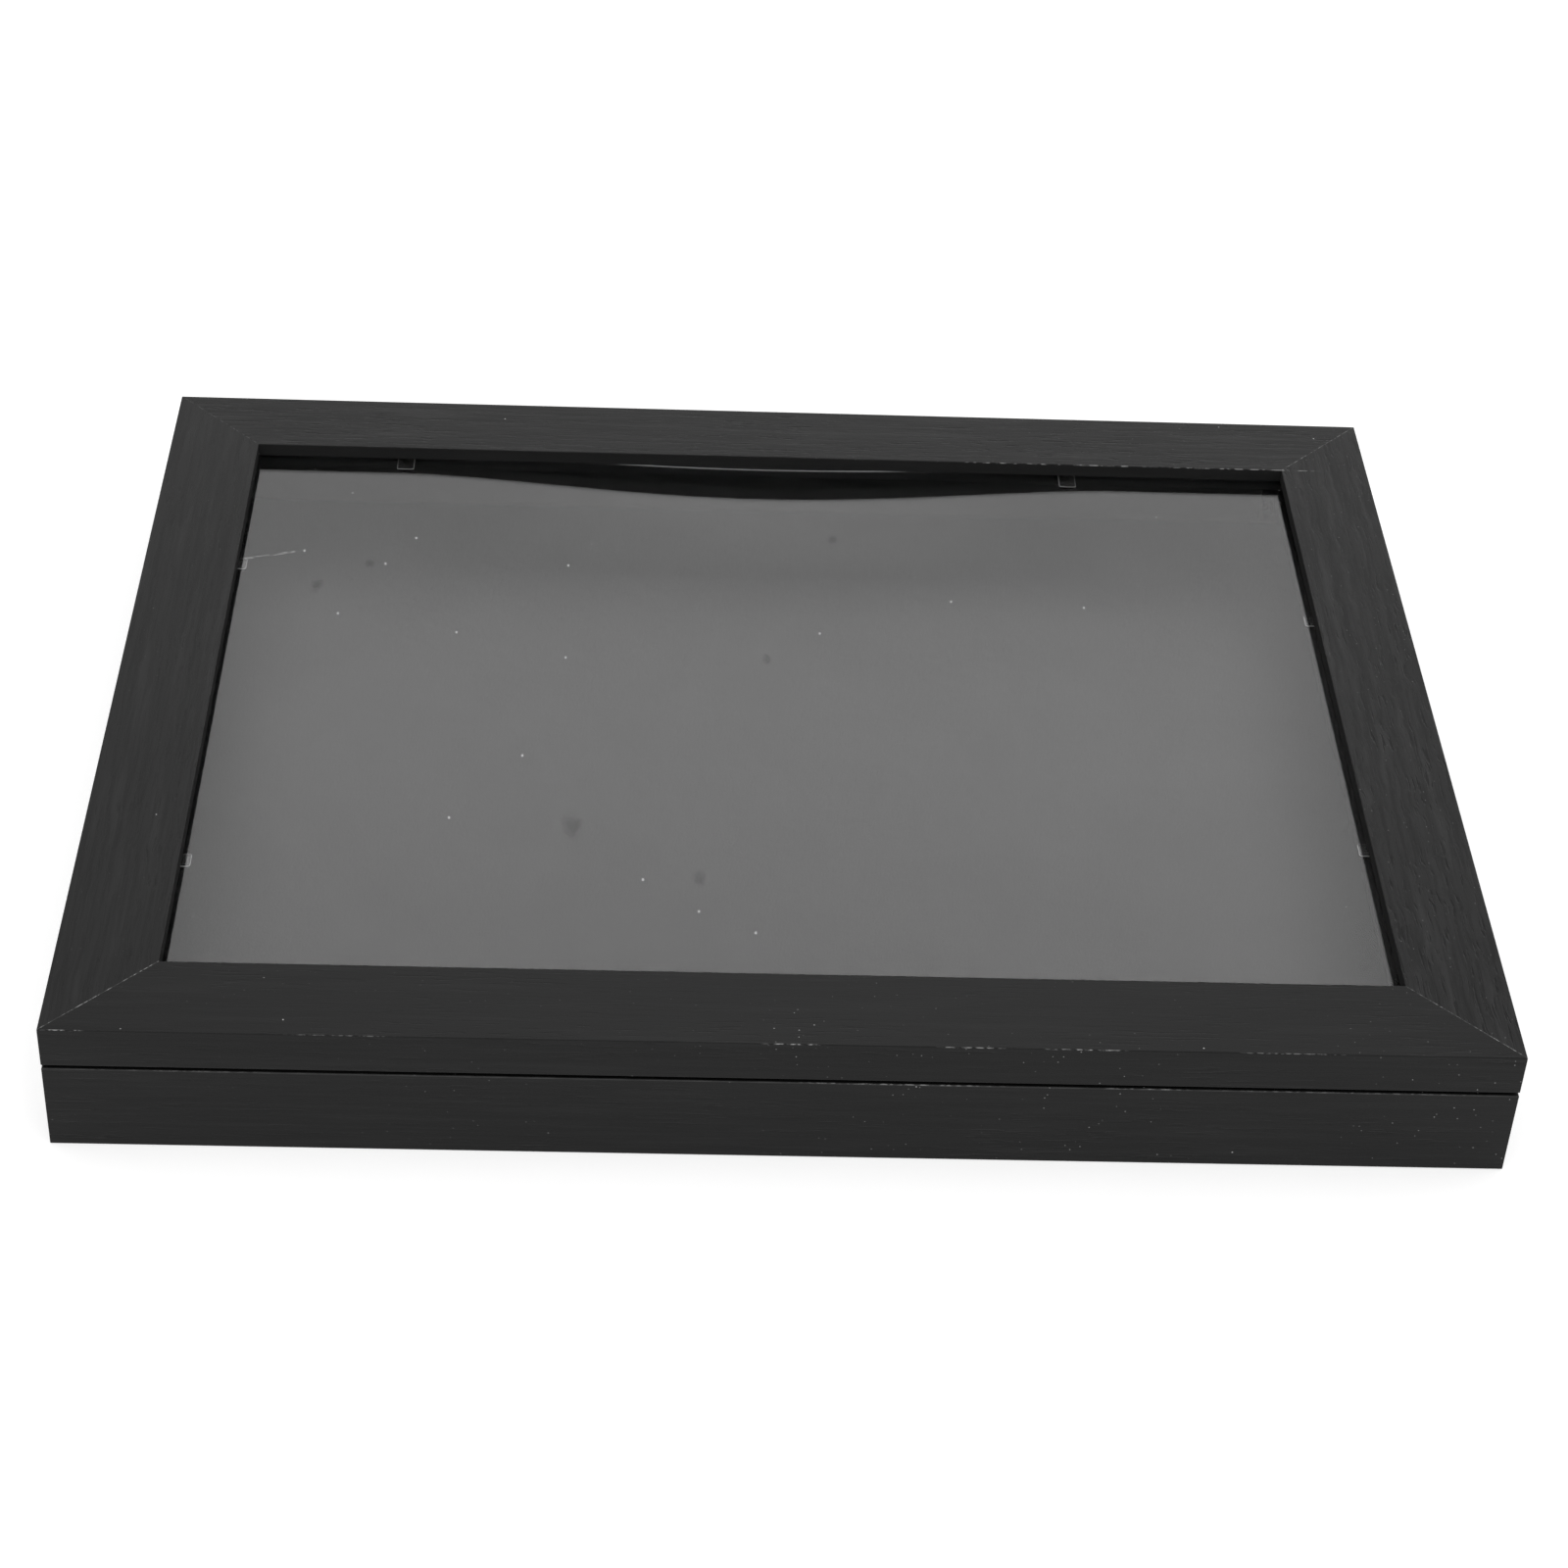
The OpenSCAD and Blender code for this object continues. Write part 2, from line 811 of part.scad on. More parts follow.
module hanger_strap(hand) {
    color(steel)
        at_hanger(hand)
            difference() {
                union() {
                    translate([0, 0, -eye_r])
                        rotate([90, 0, 0])
                            cylinder(r = eye_r, h = strap_w, center = true);
                    translate([-rivet_x, -strap_w / 2, -2 * strap_t])
                        cube([rivet_x, strap_w, 2 * strap_t]);
                    translate([-rivet_x, 0, -2 * strap_t])
                        cylinder(r = strap_w / 2, h = 2 * strap_t);
                }
                translate([0, 0, -eye_r])
                    rotate([90, 0, 0])
                        cylinder(r = ring_wire_r + ring_play, h = strap_w + 2 * over, center = true);
                rivet(fit_play);
            }
}

module hanger_rivets() {
    color(steel)
        for (hand = [0, 1])
            at_hanger(hand) rivet(0);
}

module wire_bend(bend_r, turn, angle) {
    rotate(turn)
        rotate_extrude(angle = angle)
            translate([bend_r, 0])
                circle(r = ring_wire_r);
}

// D ring: a bar in the strap's eye, two short sides and a half-round bow
module hanger_ring(hand) {
    bar = ring_r - ring_bend;
    color(steel)
        at_hanger(hand)
            translate([0, 0, -eye_r]) {
                rotate([90, 0, 0]) cylinder(r = ring_wire_r, h = 2 * bar, center = true);
                for (flip = [0, 1])
                    mirror([0, flip, 0]) {
                        translate([ring_bend, bar, 0]) wire_bend(ring_bend, 90, 90);
                        translate([ring_bend, ring_r, 0])
                            rotate([0, 90, 0])
                                cylinder(r = ring_wire_r, h = ring_leg);
                    }
                translate([ring_bend + ring_leg, 0, 0]) wire_bend(ring_r, -90, 180);
            }
}

case_wall("front");  // case_wall_front
case_wall("right");  // case_wall_right
case_wall("back");  // case_wall_back
case_wall("left");  // case_wall_left
case_corner_nails();
back_board();
back_board_screws();
felt_lining();
door_rail("front");  // door_rail_front
door_rail("right");  // door_stile_right
door_rail("back");  // door_rail_back
door_rail("left");  // door_stile_left
door_corner_nails();
pane();
pane_clip_screws();
for (i = [0:len(CLIPS) - 1])
    pane_clip(i);
case_hinge_screws();
door_hinge_screws();
for (hand = [0, 1]) {
    case_hinge_leaf(hand);
    door_hinge_leaf(hand);
    hinge_pin(hand);
    catch_magnet(hand);
    strike_disc(hand);
    bumper(hand);
    hanger_strap(hand);
    hanger_ring(hand);
}
hanging_rod();
rod_cup_screws();
for (end = [0, 1])
    rod_cup(end);
hanger_rivets();
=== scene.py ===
# %% [markdown]
# # A jersey display case
# The object is a shallow black wooden box with a glazed door, lying on its back with the pane up.
# The construction comes packed as a fixed frame: every hinge, screw and hanger is already in place.
# Blender adds the looks here, so each step takes its sizes from the frame and puts a finish on it.

# %% Load the frame
import json
import math

import bmesh
import bpy
from mathutils import Matrix, Vector


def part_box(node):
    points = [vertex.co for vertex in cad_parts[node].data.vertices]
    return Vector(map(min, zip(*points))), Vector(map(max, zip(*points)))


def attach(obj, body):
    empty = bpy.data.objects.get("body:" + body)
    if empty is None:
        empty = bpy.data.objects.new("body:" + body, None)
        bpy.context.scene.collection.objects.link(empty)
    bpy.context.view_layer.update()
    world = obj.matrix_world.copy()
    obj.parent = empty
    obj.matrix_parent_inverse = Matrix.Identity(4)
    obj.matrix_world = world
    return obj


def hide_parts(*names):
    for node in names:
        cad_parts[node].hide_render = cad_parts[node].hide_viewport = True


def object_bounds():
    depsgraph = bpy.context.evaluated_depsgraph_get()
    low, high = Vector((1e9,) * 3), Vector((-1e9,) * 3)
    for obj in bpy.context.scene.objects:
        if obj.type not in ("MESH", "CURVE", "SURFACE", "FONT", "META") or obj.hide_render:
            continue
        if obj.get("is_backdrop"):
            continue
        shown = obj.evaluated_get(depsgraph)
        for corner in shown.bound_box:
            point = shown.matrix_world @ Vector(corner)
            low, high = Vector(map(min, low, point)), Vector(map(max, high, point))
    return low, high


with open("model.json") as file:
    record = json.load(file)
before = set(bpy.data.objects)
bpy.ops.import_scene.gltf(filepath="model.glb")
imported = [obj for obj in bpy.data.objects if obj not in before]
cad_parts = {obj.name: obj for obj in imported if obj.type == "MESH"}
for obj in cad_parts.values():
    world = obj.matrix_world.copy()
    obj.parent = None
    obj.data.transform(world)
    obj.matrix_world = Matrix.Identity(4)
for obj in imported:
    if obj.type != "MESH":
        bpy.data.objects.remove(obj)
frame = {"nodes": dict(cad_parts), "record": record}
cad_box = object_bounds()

MM = 0.001
nodes = frame["nodes"]
cad_low, cad_high = cad_box
print("CAD box in mm:", [round(v / MM, 1) for v in cad_high - cad_low])

# %% [markdown]
# ## Camera
# The photograph was taken from the front, a little to the left and well above, with a long lens.
# A camera could be aimed by eye, but its place was worked out from the frame's corners instead,
# so that edges in the render fall where they do in the photograph.

# %% Add the camera
CAMERA_PLACE = Vector((-0.0477, -1.0564, 0.8288))
CAMERA_FORWARD = Vector((0.0384, 0.7886, -0.6137)).normalized()
CAMERA_UP = Vector((-0.0221, 0.6147, 0.7885))
CAMERA_LENS = 79.13

bpy.ops.object.select_all(action="DESELECT")
camera_right = CAMERA_FORWARD.cross(CAMERA_UP).normalized()
camera_up = camera_right.cross(CAMERA_FORWARD)
turn = Matrix((camera_right, camera_up, -CAMERA_FORWARD)).transposed()
bpy.ops.object.camera_add(location=CAMERA_PLACE, rotation=turn.to_euler())
camera = bpy.context.object
camera.name = "camera"
camera.data.lens = CAMERA_LENS
bpy.context.scene.camera = camera
print("camera looks down by", round(math.degrees(math.asin(-CAMERA_FORWARD.z)), 1), "degrees")

# %% [markdown]
# ## Node helpers
# Every finish below is a tree of nodes. Adding a node, setting its values and linking it is always
# the same work, so one helper does it: an input given as a socket is linked, and anything else is
# set as the input's own value. The rest are short names for the steps that come up most.

# %% Helpers for node trees
MIX_FIRST, MIX_SECOND, MIX_RESULT = 6, 7, 2


def add_node(tree, kind, inputs, **settings):
    """Adds a node with these settings, and links or sets the named or numbered inputs."""
    node = tree.nodes.new(kind)
    for key, value in settings.items():
        setattr(node, key, value)
    for key, value in inputs.items():
        if isinstance(value, bpy.types.NodeSocket):
            tree.links.new(value, node.inputs[key])
        else:
            node.inputs[key].default_value = value
    return node


def calc(tree, operation, first, second=0.0, third=0.0):
    """One step of arithmetic on sockets or numbers."""
    node = add_node(tree, "ShaderNodeMath", {0: first, 1: second, 2: third}, operation=operation)
    return node.outputs[0]


def vector_calc(tree, operation, first, second):
    """One step of vector arithmetic. Gives the node, because the output depends on the operation."""
    return add_node(tree, "ShaderNodeVectorMath", {0: first, 1: second}, operation=operation)


def fade(tree, value, start, end, low=0.0, high=1.0):
    """Eases from low to high while a value goes from start to end."""
    node = add_node(
        tree, "ShaderNodeMapRange",
        {"Value": value, "From Min": start, "From Max": end, "To Min": low, "To Max": high},
        interpolation_type="SMOOTHSTEP",
    )
    return node.outputs["Result"]


def mix_colour(tree, share, first, second):
    """Goes from the first colour to the second by a share from 0 to 1."""
    node = add_node(
        tree, "ShaderNodeMix", {"Factor": share, MIX_FIRST: first, MIX_SECOND: second}, data_type="RGBA"
    )
    return node.outputs[MIX_RESULT]


# %% Helpers for finishes
def grey(level):
    """A neutral colour."""
    return (level, level, level, 1.0)


def noise(tree, coords, scale, stretch=(1, 1, 1), detail=4.0, shift=(0, 0, 0)):
    """Noise from 0 to 1, whose cells are 1 / scale metres across, stretched along each axis."""
    placed = add_node(tree, "ShaderNodeMapping", {"Vector": coords, "Location": shift, "Scale": stretch})
    texture = add_node(
        tree, "ShaderNodeTexNoise",
        {"Vector": placed.outputs[0], "Scale": scale, "Detail": detail},
    )
    return texture.outputs[0]


def start_material(name, **values):
    """A material with one Principled shader. Gives the material, its tree, shader and coordinates."""
    material = bpy.data.materials.new(name)
    material.use_nodes = True
    tree = material.node_tree
    shader = tree.nodes["Principled BSDF"]
    for key, value in values.items():
        shader.inputs[key.replace("_", " ")].default_value = value
    coords = add_node(tree, "ShaderNodeTexCoord", {}).outputs["Object"]
    return material, tree, shader, coords


def add_bump(tree, shader, height, distance):
    """Lets a height pattern, in units of the distance in metres, roughen the surface."""
    bump = add_node(tree, "ShaderNodeBump", {"Height": height, "Distance": distance, "Strength": 1.0})
    tree.links.new(bump.outputs[0], shader.inputs["Normal"])


# %% [markdown]
# ## Black wood
# The frame and the box are a pale softwood, stained black, with a satin coat. From a step away they
# look plain black. Close up the grain runs along each piece as fine ridges, with short open pores.
# A flat black would lose all that. Here stretched noise makes the grain: ridges, paler streaks, pores,
# and the patches where pores are many. Each is (scale, stretch along the grain, detail, shift).

# %% Grain of the black wood
RIDGES = (620, 0.035, 5, (0, 0, 0))
STREAKS = (240, 0.07, 4, (4, 8, 3))
PORES = (950, 0.075, 2, (3, 1, 2))
PORE_PATCHES = (45, 0.4, 2, (7, 5, 1))
GRAIN_WAVE = 3 * MM
GRAIN_WAVE_SCALE = 60
GRAIN_CONTRAST = 0.45
STREAK_SHARE = 0.7
STREAK_STAIN = 2.6
PORE_STAIN = 0.2


def along_grain(tree, coords, grain, pattern):
    """Noise that is drawn out along the grain."""
    scale, stretch, detail, shift = pattern
    return noise(tree, coords, scale, [stretch if axis == grain else 1 for axis in "xyz"], detail, shift)


def wood_grain(tree, coords, grain, figure, stain_and_light):
    """The colour, from the given black level with the side's painted light in it, and the heights of the
    ridges and the pores, from 0 to 1.
    """
    wave = noise(tree, coords, GRAIN_WAVE_SCALE, detail=1, shift=(9, 4, 2))
    bent = vector_calc(tree, "ADD", coords, calc(tree, "MULTIPLY", wave, figure * GRAIN_WAVE)).outputs[0]
    ridges = along_grain(tree, bent, grain, RIDGES)
    streaks = along_grain(tree, bent, grain, STREAKS)
    patches = fade(tree, along_grain(tree, coords, grain, PORE_PATCHES), 0.4, 0.6, 0.25, 1.0)
    pores = calc(tree, "MULTIPLY", fade(tree, along_grain(tree, bent, grain, PORES), 0.56, 0.68), patches)
    dark, pale = (1 - GRAIN_CONTRAST * figure) * stain_and_light, (1 + GRAIN_CONTRAST * figure) * stain_and_light
    streak_share = fade(tree, streaks, 0.48, 0.72, 0.0, STREAK_SHARE * figure)
    colour = mix_colour(tree, fade(tree, ridges, 0.3, 0.7), grey(dark), grey(pale))
    colour = mix_colour(tree, streak_share, colour, grey(STREAK_STAIN * stain_and_light))
    colour = mix_colour(tree, calc(tree, "MULTIPLY", pores, figure), colour, grey(PORE_STAIN * stain_and_light))
    return colour, ridges, pores


# %% [markdown]
# ## Wear of the black wood
# The pale wood shows where an edge was knocked: along the front edge of the door, along the top inner
# edge of the back rail and on the box's rim. The chips could be painted by hand, but every edge lies
# along X or Y, so its distance is found from the place alone, and noise breaks it into chips. Each
# group of chips is (middle in mm, reach in mm, strength), placed where the real case has it, and it
# fades out past its core.

# %% Chipped edges
HALF_LENGTH = cad_high.x
HALF_WIDTH = -cad_low.y
DOOR_BOTTOM, DOOR_TOP = (corner.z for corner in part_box("door_rail_front"))
BOX_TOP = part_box("case_wall_front")[1].z
HALF_OPENING = -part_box("door_rail_front")[1].y
FRONT_CHIPS = ((2, 12, 0.9), (62, 14, 0.7), (100, 16, 0.9), (-150, 22, 0.3), (170, 22, 0.4), (-242, 8, 0.8))
BACK_CHIPS = ((140, 22, 1.0), (104, 30, 0.75), (195, 40, 0.7))
RIM_CHIPS = ((38, 42, 0.6), (122, 18, 0.5), (-205, 40, 0.15), (190, 55, 0.25))
CHIPPED_EDGES = (
    (-HALF_WIDTH, DOOR_TOP, FRONT_CHIPS),
    (HALF_OPENING, DOOR_TOP, BACK_CHIPS),
    (-HALF_WIDTH, BOX_TOP, RIM_CHIPS),
)
CHIP_WIDTH = (0.15 * MM, 0.38 * MM)
CHIP_SCALE = 1100
GROUP_CORE = 0.4


def gap_to(tree, value, target):
    """How far a value is from another."""
    return calc(tree, "ABSOLUTE", calc(tree, "SUBTRACT", value, target))


def chip_groups(tree, x, groups):
    """How worn an edge is along X."""
    worn = 0.0
    for centre, reach, strength in groups:
        start, end = GROUP_CORE * reach * MM, reach * MM
        group = fade(tree, gap_to(tree, x, centre * MM), start, end, strength, 0.0)
        worn = calc(tree, "MAXIMUM", worn, group)
    return worn


def chipped_edges(tree, coords, x, y, z):
    """Small bright chips where the pale wood shows."""
    chips = fade(tree, noise(tree, coords, CHIP_SCALE, (0.4, 1, 1), shift=(2, 9, 4)), 0.46, 0.6)
    worn = 0.0
    for edge_y, edge_z, groups in CHIPPED_EDGES:
        away = calc(tree, "ADD", gap_to(tree, y, edge_y), gap_to(tree, z, edge_z))
        edge = calc(tree, "MULTIPLY", fade(tree, away, *CHIP_WIDTH, 1.0, 0.0), chip_groups(tree, x, groups))
        worn = calc(tree, "MAXIMUM", worn, edge)
    return calc(tree, "MULTIPLY", worn, chips)


print("chipped edges at heights in mm:", [round(height / MM, 1) for _, height, _ in CHIPPED_EDGES])

# %% [markdown]
# A pale line also runs along the rim of the box: partly stain rubbed thin, and partly a painted highlight
# where the rim's edge catches light. A broken pale line stands in each mitre, where the glue took no stain.
# Both are again found from the place: the rim by its distance from the outside, and a mitre by where the
# distances along X and Y are level.

# %% Rubbed rim with painted highlight, and mitre lines
MITRE_SHIFT = HALF_LENGTH - HALF_WIDTH
RIM_WIDTH = (0.3 * MM, 0.55 * MM)
RIM_SCALE = 90
MITRE_WIDTH = (0.06 * MM, 0.26 * MM)
MITRE_SCALE = 600
BACK_MITRES = (0.3, 0.7)
HALFWAY = (-10 * MM, 10 * MM)
TOP_BAND = (DOOR_TOP - 1.5 * MM, DOOR_TOP - 0.5 * MM)


def rubbed_rim_and_highlight(tree, coords, x, y, z):
    """A faint pale line along the rim of the box: the black rubbed thin there, and a painted highlight of
    the edge.
    """
    from_end = calc(tree, "SUBTRACT", HALF_LENGTH, calc(tree, "ABSOLUTE", x))
    side = calc(tree, "MINIMUM", from_end, calc(tree, "SUBTRACT", HALF_WIDTH, calc(tree, "ABSOLUTE", y)))
    rim = fade(tree, calc(tree, "ADD", side, gap_to(tree, z, BOX_TOP)), *RIM_WIDTH, 1.0, 0.0)
    thin = fade(tree, noise(tree, coords, RIM_SCALE, shift=(8, 2, 6)), 0.35, 0.65, 0.4, 1.0)
    return calc(tree, "MULTIPLY", rim, thin)


def mitre_lines(tree, coords, x, y, z):
    """A fine broken line on top of the door where two rails meet, plainest at the front."""
    off = calc(tree, "SUBTRACT", calc(tree, "ABSOLUTE", x), calc(tree, "ABSOLUTE", y))
    line = fade(tree, gap_to(tree, off, MITRE_SHIFT), *MITRE_WIDTH, 1.0, 0.0)
    broken = fade(tree, noise(tree, coords, MITRE_SCALE, detail=3, shift=(1, 4, 6)), 0.42, 0.66, 0.12, 1.0)
    on_top = fade(tree, z, *TOP_BAND)
    strength = fade(tree, y, *HALFWAY, 1.0, fade(tree, x, *HALFWAY, *BACK_MITRES))
    line = calc(tree, "MULTIPLY", line, broken)
    return calc(tree, "MULTIPLY", line, calc(tree, "MULTIPLY", on_top, strength))


# %% [markdown]
# Dust sits on the coat: single specks all over, fine grit in patches, fainter on top of the door, and one
# close group near the middle of the front. Loose specks as small meshes would be heavy, so a Voronoi
# texture puts them into the finish. Each kind is (spacing, radius), and has its share of the colour.

# %% Dust on the wood
SINGLE_SPECKS = (12 * MM, 0.36 * MM)
FINE_GRIT = (3.1 * MM, 0.27 * MM)
CLOSE_GRIT = (2 * MM, 0.26 * MM)
GRIT_PLACE = (3 * MM, -193 * MM, 52 * MM)
GRIT_REACH = 14 * MM
GRIT_PATCH_SCALE = 16
GRIT_RISE = (-60 * MM, 120 * MM)
TOP_SKIN = (DOOR_TOP - 1 * MM, DOOR_TOP)
SPECK_CORE = 0.6
SINGLE_SHARE = 1.0
GRIT_SHARE = 0.42
TOP_GRIT_SHARE = 0.2
LEFT_GRIT_SHARE = 0.3
GROUP_SHARE = 0.7


def specks(tree, coords, spacing, radius):
    """Specks of dust, at most one in each cell of the spacing, each with a brightness of its own."""
    cells = add_node(tree, "ShaderNodeTexVoronoi", {"Vector": coords, "Scale": 1 / spacing})
    size = radius / spacing
    spot = fade(tree, cells.outputs["Distance"], SPECK_CORE * size, size, 1.0, 0.0)
    return calc(tree, "MULTIPLY", spot, fade(tree, cells.outputs["Color"], 0.3, 0.55))


def dust(tree, coords, x, z):
    """Single specks all over, fine grit in patches, more to the right, and one close group at the front."""
    patches = fade(tree, noise(tree, coords, GRIT_PATCH_SCALE, detail=2, shift=(3, 6, 1)), 0.42, 0.56)
    patches = calc(tree, "MULTIPLY", patches, fade(tree, x, *GRIT_RISE, LEFT_GRIT_SHARE, 1.0))
    share = fade(tree, z, *TOP_SKIN, GRIT_SHARE, TOP_GRIT_SHARE)
    patches = calc(tree, "MULTIPLY", patches, share)
    grit = calc(tree, "MULTIPLY", specks(tree, coords, *FINE_GRIT), patches)
    away = vector_calc(tree, "DISTANCE", coords, GRIT_PLACE).outputs["Value"]
    group = fade(tree, away, GROUP_CORE * GRIT_REACH, GRIT_REACH, GROUP_SHARE, 0.0)
    group = calc(tree, "MULTIPLY", specks(tree, coords, *CLOSE_GRIT), group)
    single = calc(tree, "MULTIPLY", specks(tree, coords, *SINGLE_SPECKS), SINGLE_SHARE)
    return calc(tree, "MAXIMUM", single, calc(tree, "MAXIMUM", grit, group))


# %% [markdown]
# Each of the four sides has its own finish, because the grain runs along the piece, and on the real case the
# right side shows its figure plainly and the front hardly at all. Each side's black is also set a little
# darker or paler as painted light, for how the light falls on that side. One finish for all would need a
# turned pattern on each piece. The wear, and the rim's painted highlight, are mixed over the stain in the
# order in which they came.

# %% Finish for black wood
SIDES = ("front", "right", "back", "left")
FIGURE = {"front": 0.3, "right": 1.12, "back": 0.75, "left": 0.5}
# Painted light: the stain level differs by side to match how lit each side looks, not because the wood
# differs.
SIDE_STAIN_AND_LIGHT = {"front": 0.0067, "right": 0.008, "back": 0.0083, "left": 0.0093}
RIM_WEAR_HIGHLIGHT_SHARE, RIM_WEAR_HIGHLIGHT_GREY = 0.6, 0.06
MITRE_SHARE, MITRE_GREY = 0.75, 0.5
CHIP_GREY = 0.45
DUST_GREY = 0.55
SATIN, SATIN_SPREAD = 0.27, 0.07
RIDGE_DEPTH = 0.16 * MM


def black_wood(side):
    """Black stained wood for one side of the case, with its grain along that side."""
    figure = FIGURE[side]
    grain = "x" if side in ("front", "back") else "y"
    material, tree, shader, coords = start_material(f"black_wood_{side}", Specular_IOR_Level=0.15)
    colour, ridges, pores = wood_grain(tree, coords, grain, figure, SIDE_STAIN_AND_LIGHT[side])
    x, y, z = add_node(tree, "ShaderNodeSeparateXYZ", {0: coords}).outputs

    # The pale rim line is partly worn stain and partly a painted highlight of the edge.
    rim_wear_and_highlight = calc(tree, "MULTIPLY", rubbed_rim_and_highlight(tree, coords, x, y, z), RIM_WEAR_HIGHLIGHT_SHARE)
    mitres = calc(tree, "MULTIPLY", mitre_lines(tree, coords, x, y, z), MITRE_SHARE)
    colour = mix_colour(tree, rim_wear_and_highlight, colour, grey(RIM_WEAR_HIGHLIGHT_GREY))
    colour = mix_colour(tree, mitres, colour, grey(MITRE_GREY))
    colour = mix_colour(tree, chipped_edges(tree, coords, x, y, z), colour, grey(CHIP_GREY))
    colour = mix_colour(tree, dust(tree, coords, x, z), colour, grey(DUST_GREY))
    tree.links.new(colour, shader.inputs["Base Color"])
    spread = SATIN_SPREAD * figure
    tree.links.new(fade(tree, ridges, 0.3, 0.7, SATIN - spread, SATIN + spread), shader.inputs["Roughness"])
    add_bump(tree, shader, calc(tree, "SUBTRACT", ridges, pores), figure * RIDGE_DEPTH)
    return material


BLACK_WOOD = {side: black_wood(side) for side in SIDES}
print("finishes for black wood:", [material.name for material in BLACK_WOOD.values()])

# %% [markdown]
# The faces that look into the case were stained but never lacquered, so they are flat black and mirror
# nothing. With the satin coat they would shine through the pane, so they get a matt finish of their own.
# Below the lip, the box's inside is also set much paler, as painted light where the door shades it.

# %% Finish for the inside of the wood
LIP_STAIN = {"front": 0.023, "right": 0.023, "back": 0.019, "left": 0.023}
# Painted light: the inside is much paler than the wood outside, to make up for the shade of the door.
INSIDE_STAIN_AND_LIGHT = 0.07
BRUSH_CONTRAST = 0.2


def matt_stain(name, stain_and_light):
    """Flat black with faint marks of the brush, at the level given; for the inside the level is raised as
    painted light.
    """
    material, tree, shader, coords = start_material(name, Specular_IOR_Level=0.0)
    brush = noise(tree, coords, 300, (0.1, 0.1, 1))
    dark, pale = (1 - BRUSH_CONTRAST) * stain_and_light, (1 + BRUSH_CONTRAST) * stain_and_light
    tree.links.new(mix_colour(tree, brush, grey(dark), grey(pale)), shader.inputs["Base Color"])
    tree.links.new(fade(tree, brush, 0.3, 0.7, 0.8, 0.95), shader.inputs["Roughness"])
    return material


MATT_LIP = {side: matt_stain(f"matt_lip_{side}", LIP_STAIN[side]) for side in SIDES}
MATT_INSIDE_PAINTED_LIGHT = matt_stain("matt_inside_painted_light", INSIDE_STAIN_AND_LIGHT)
print("finishes for the inside:", len(MATT_LIP), "lips and", MATT_INSIDE_PAINTED_LIGHT.name)

# %% [markdown]
# ## Mitred rails
# The door is four rails and the box four walls, each a planed length with a step cut along it and
# both ends cut at 45 degrees. The four could be one ring, but the real ones are glued up from
# separate lengths and the joint shows. So a length is modelled alone, as by hand: a block, its lip
# extruded, the ends bisected, the long edges bevelled and the mitre's own edges eased a very little.
# An operator acts on all that is selected, so faces and edges are first picked by where they are.

# %% Helpers for modelling
def add_block(name, low, high):
    """A cube between two corners, alone selected, with its place in its mesh."""
    bpy.ops.object.select_all(action="DESELECT")
    low, high = Vector(low), Vector(high)
    bpy.ops.mesh.primitive_cube_add(size=1, location=(low + high) / 2, scale=high - low)
    bpy.ops.object.transform_apply(location=True, rotation=True, scale=True)
    block = bpy.context.object
    block.name = name
    return block


def pick(piece, kind, wanted):
    """In edit mode, selects just the faces or edges that pass a test."""
    bpy.ops.object.mode_set(mode="EDIT")
    bpy.ops.mesh.select_mode(type=kind)
    bpy.ops.mesh.select_all(action="DESELECT")
    mesh = bmesh.from_edit_mesh(piece.data)
    mesh.normal_update()
    for item in mesh.faces if kind == "FACE" else mesh.edges:
        if wanted(item):
            item.select_set(True)
    bmesh.update_edit_mesh(piece.data)


def middle(item):
    """The middle of a face or an edge."""
    return sum((v.co for v in item.verts), Vector()) / len(item.verts)


def bisect_all(place, normal, **settings):
    """Cuts the whole mesh by a plane."""
    bpy.ops.mesh.select_all(action="SELECT")
    bpy.ops.mesh.bisect(plane_co=place, plane_no=normal, **settings)


# %% Model one mitred length
ARRIS = 0.3 * MM
MITRE_EASE = 0.1 * MM
TINY = 0.02 * MM
SHARP_ANGLE = math.radians(60)
FLAT_ANGLE = math.radians(1)
FACING = 0.9


def mitred_length(span, reach, block, step):
    """A length along the front side. block and step are its (y, z) corners, measured from the outside."""
    (low_y, low_z), (high_y, high_z) = block
    step_width, step_z = step
    outer = -reach / 2
    piece = add_block("mitred_length", (-span / 2, outer + low_y, low_z), (span / 2, outer + high_y, high_z))
    bpy.ops.object.mode_set(mode="EDIT")
    bisect_all((0, 0, step_z), (0, 0, 1))
    pick(piece, "FACE", lambda f: f.normal.y > FACING and middle(f).z > step_z)
    bpy.ops.mesh.extrude_region_move(TRANSFORM_OT_translate={"value": (0, step_width, 0)})
    for end in (-1, 1):
        bisect_all((end * span / 2, outer, 0), (end, 1, 0), use_fill=True, clear_outer=True)
    bpy.ops.mesh.select_all(action="SELECT")
    bpy.ops.mesh.dissolve_limited(angle_limit=FLAT_ANGLE)

    def is_arris(edge):
        runs_along = abs(edge.verts[0].co.x - edge.verts[1].co.x) > span / 2
        return runs_along and edge.is_convex and edge.calc_face_angle(0) > SHARP_ANGLE

    def is_mitre(edge):
        places = [abs(abs(v.co.x) - span / 2 + v.co.y - outer) < TINY for v in edge.verts]
        return all(places) and edge.is_convex

    pick(piece, "EDGE", is_arris)
    bpy.ops.mesh.bevel(offset=ARRIS, segments=3, affect="EDGES")
    pick(piece, "EDGE", is_mitre)
    bpy.ops.mesh.bevel(offset=MITRE_EASE, segments=1, affect="EDGES")
    bpy.ops.object.mode_set(mode="OBJECT")
    return piece


# %% [markdown]
# Opposite sides are the same length, so there are only four shapes: a long and a short one for the box,
# and the same for the door. Each shape is modelled once, copied with a mesh of its own, and the copy is
# turned to its side by quarter turns about the middle of the case.

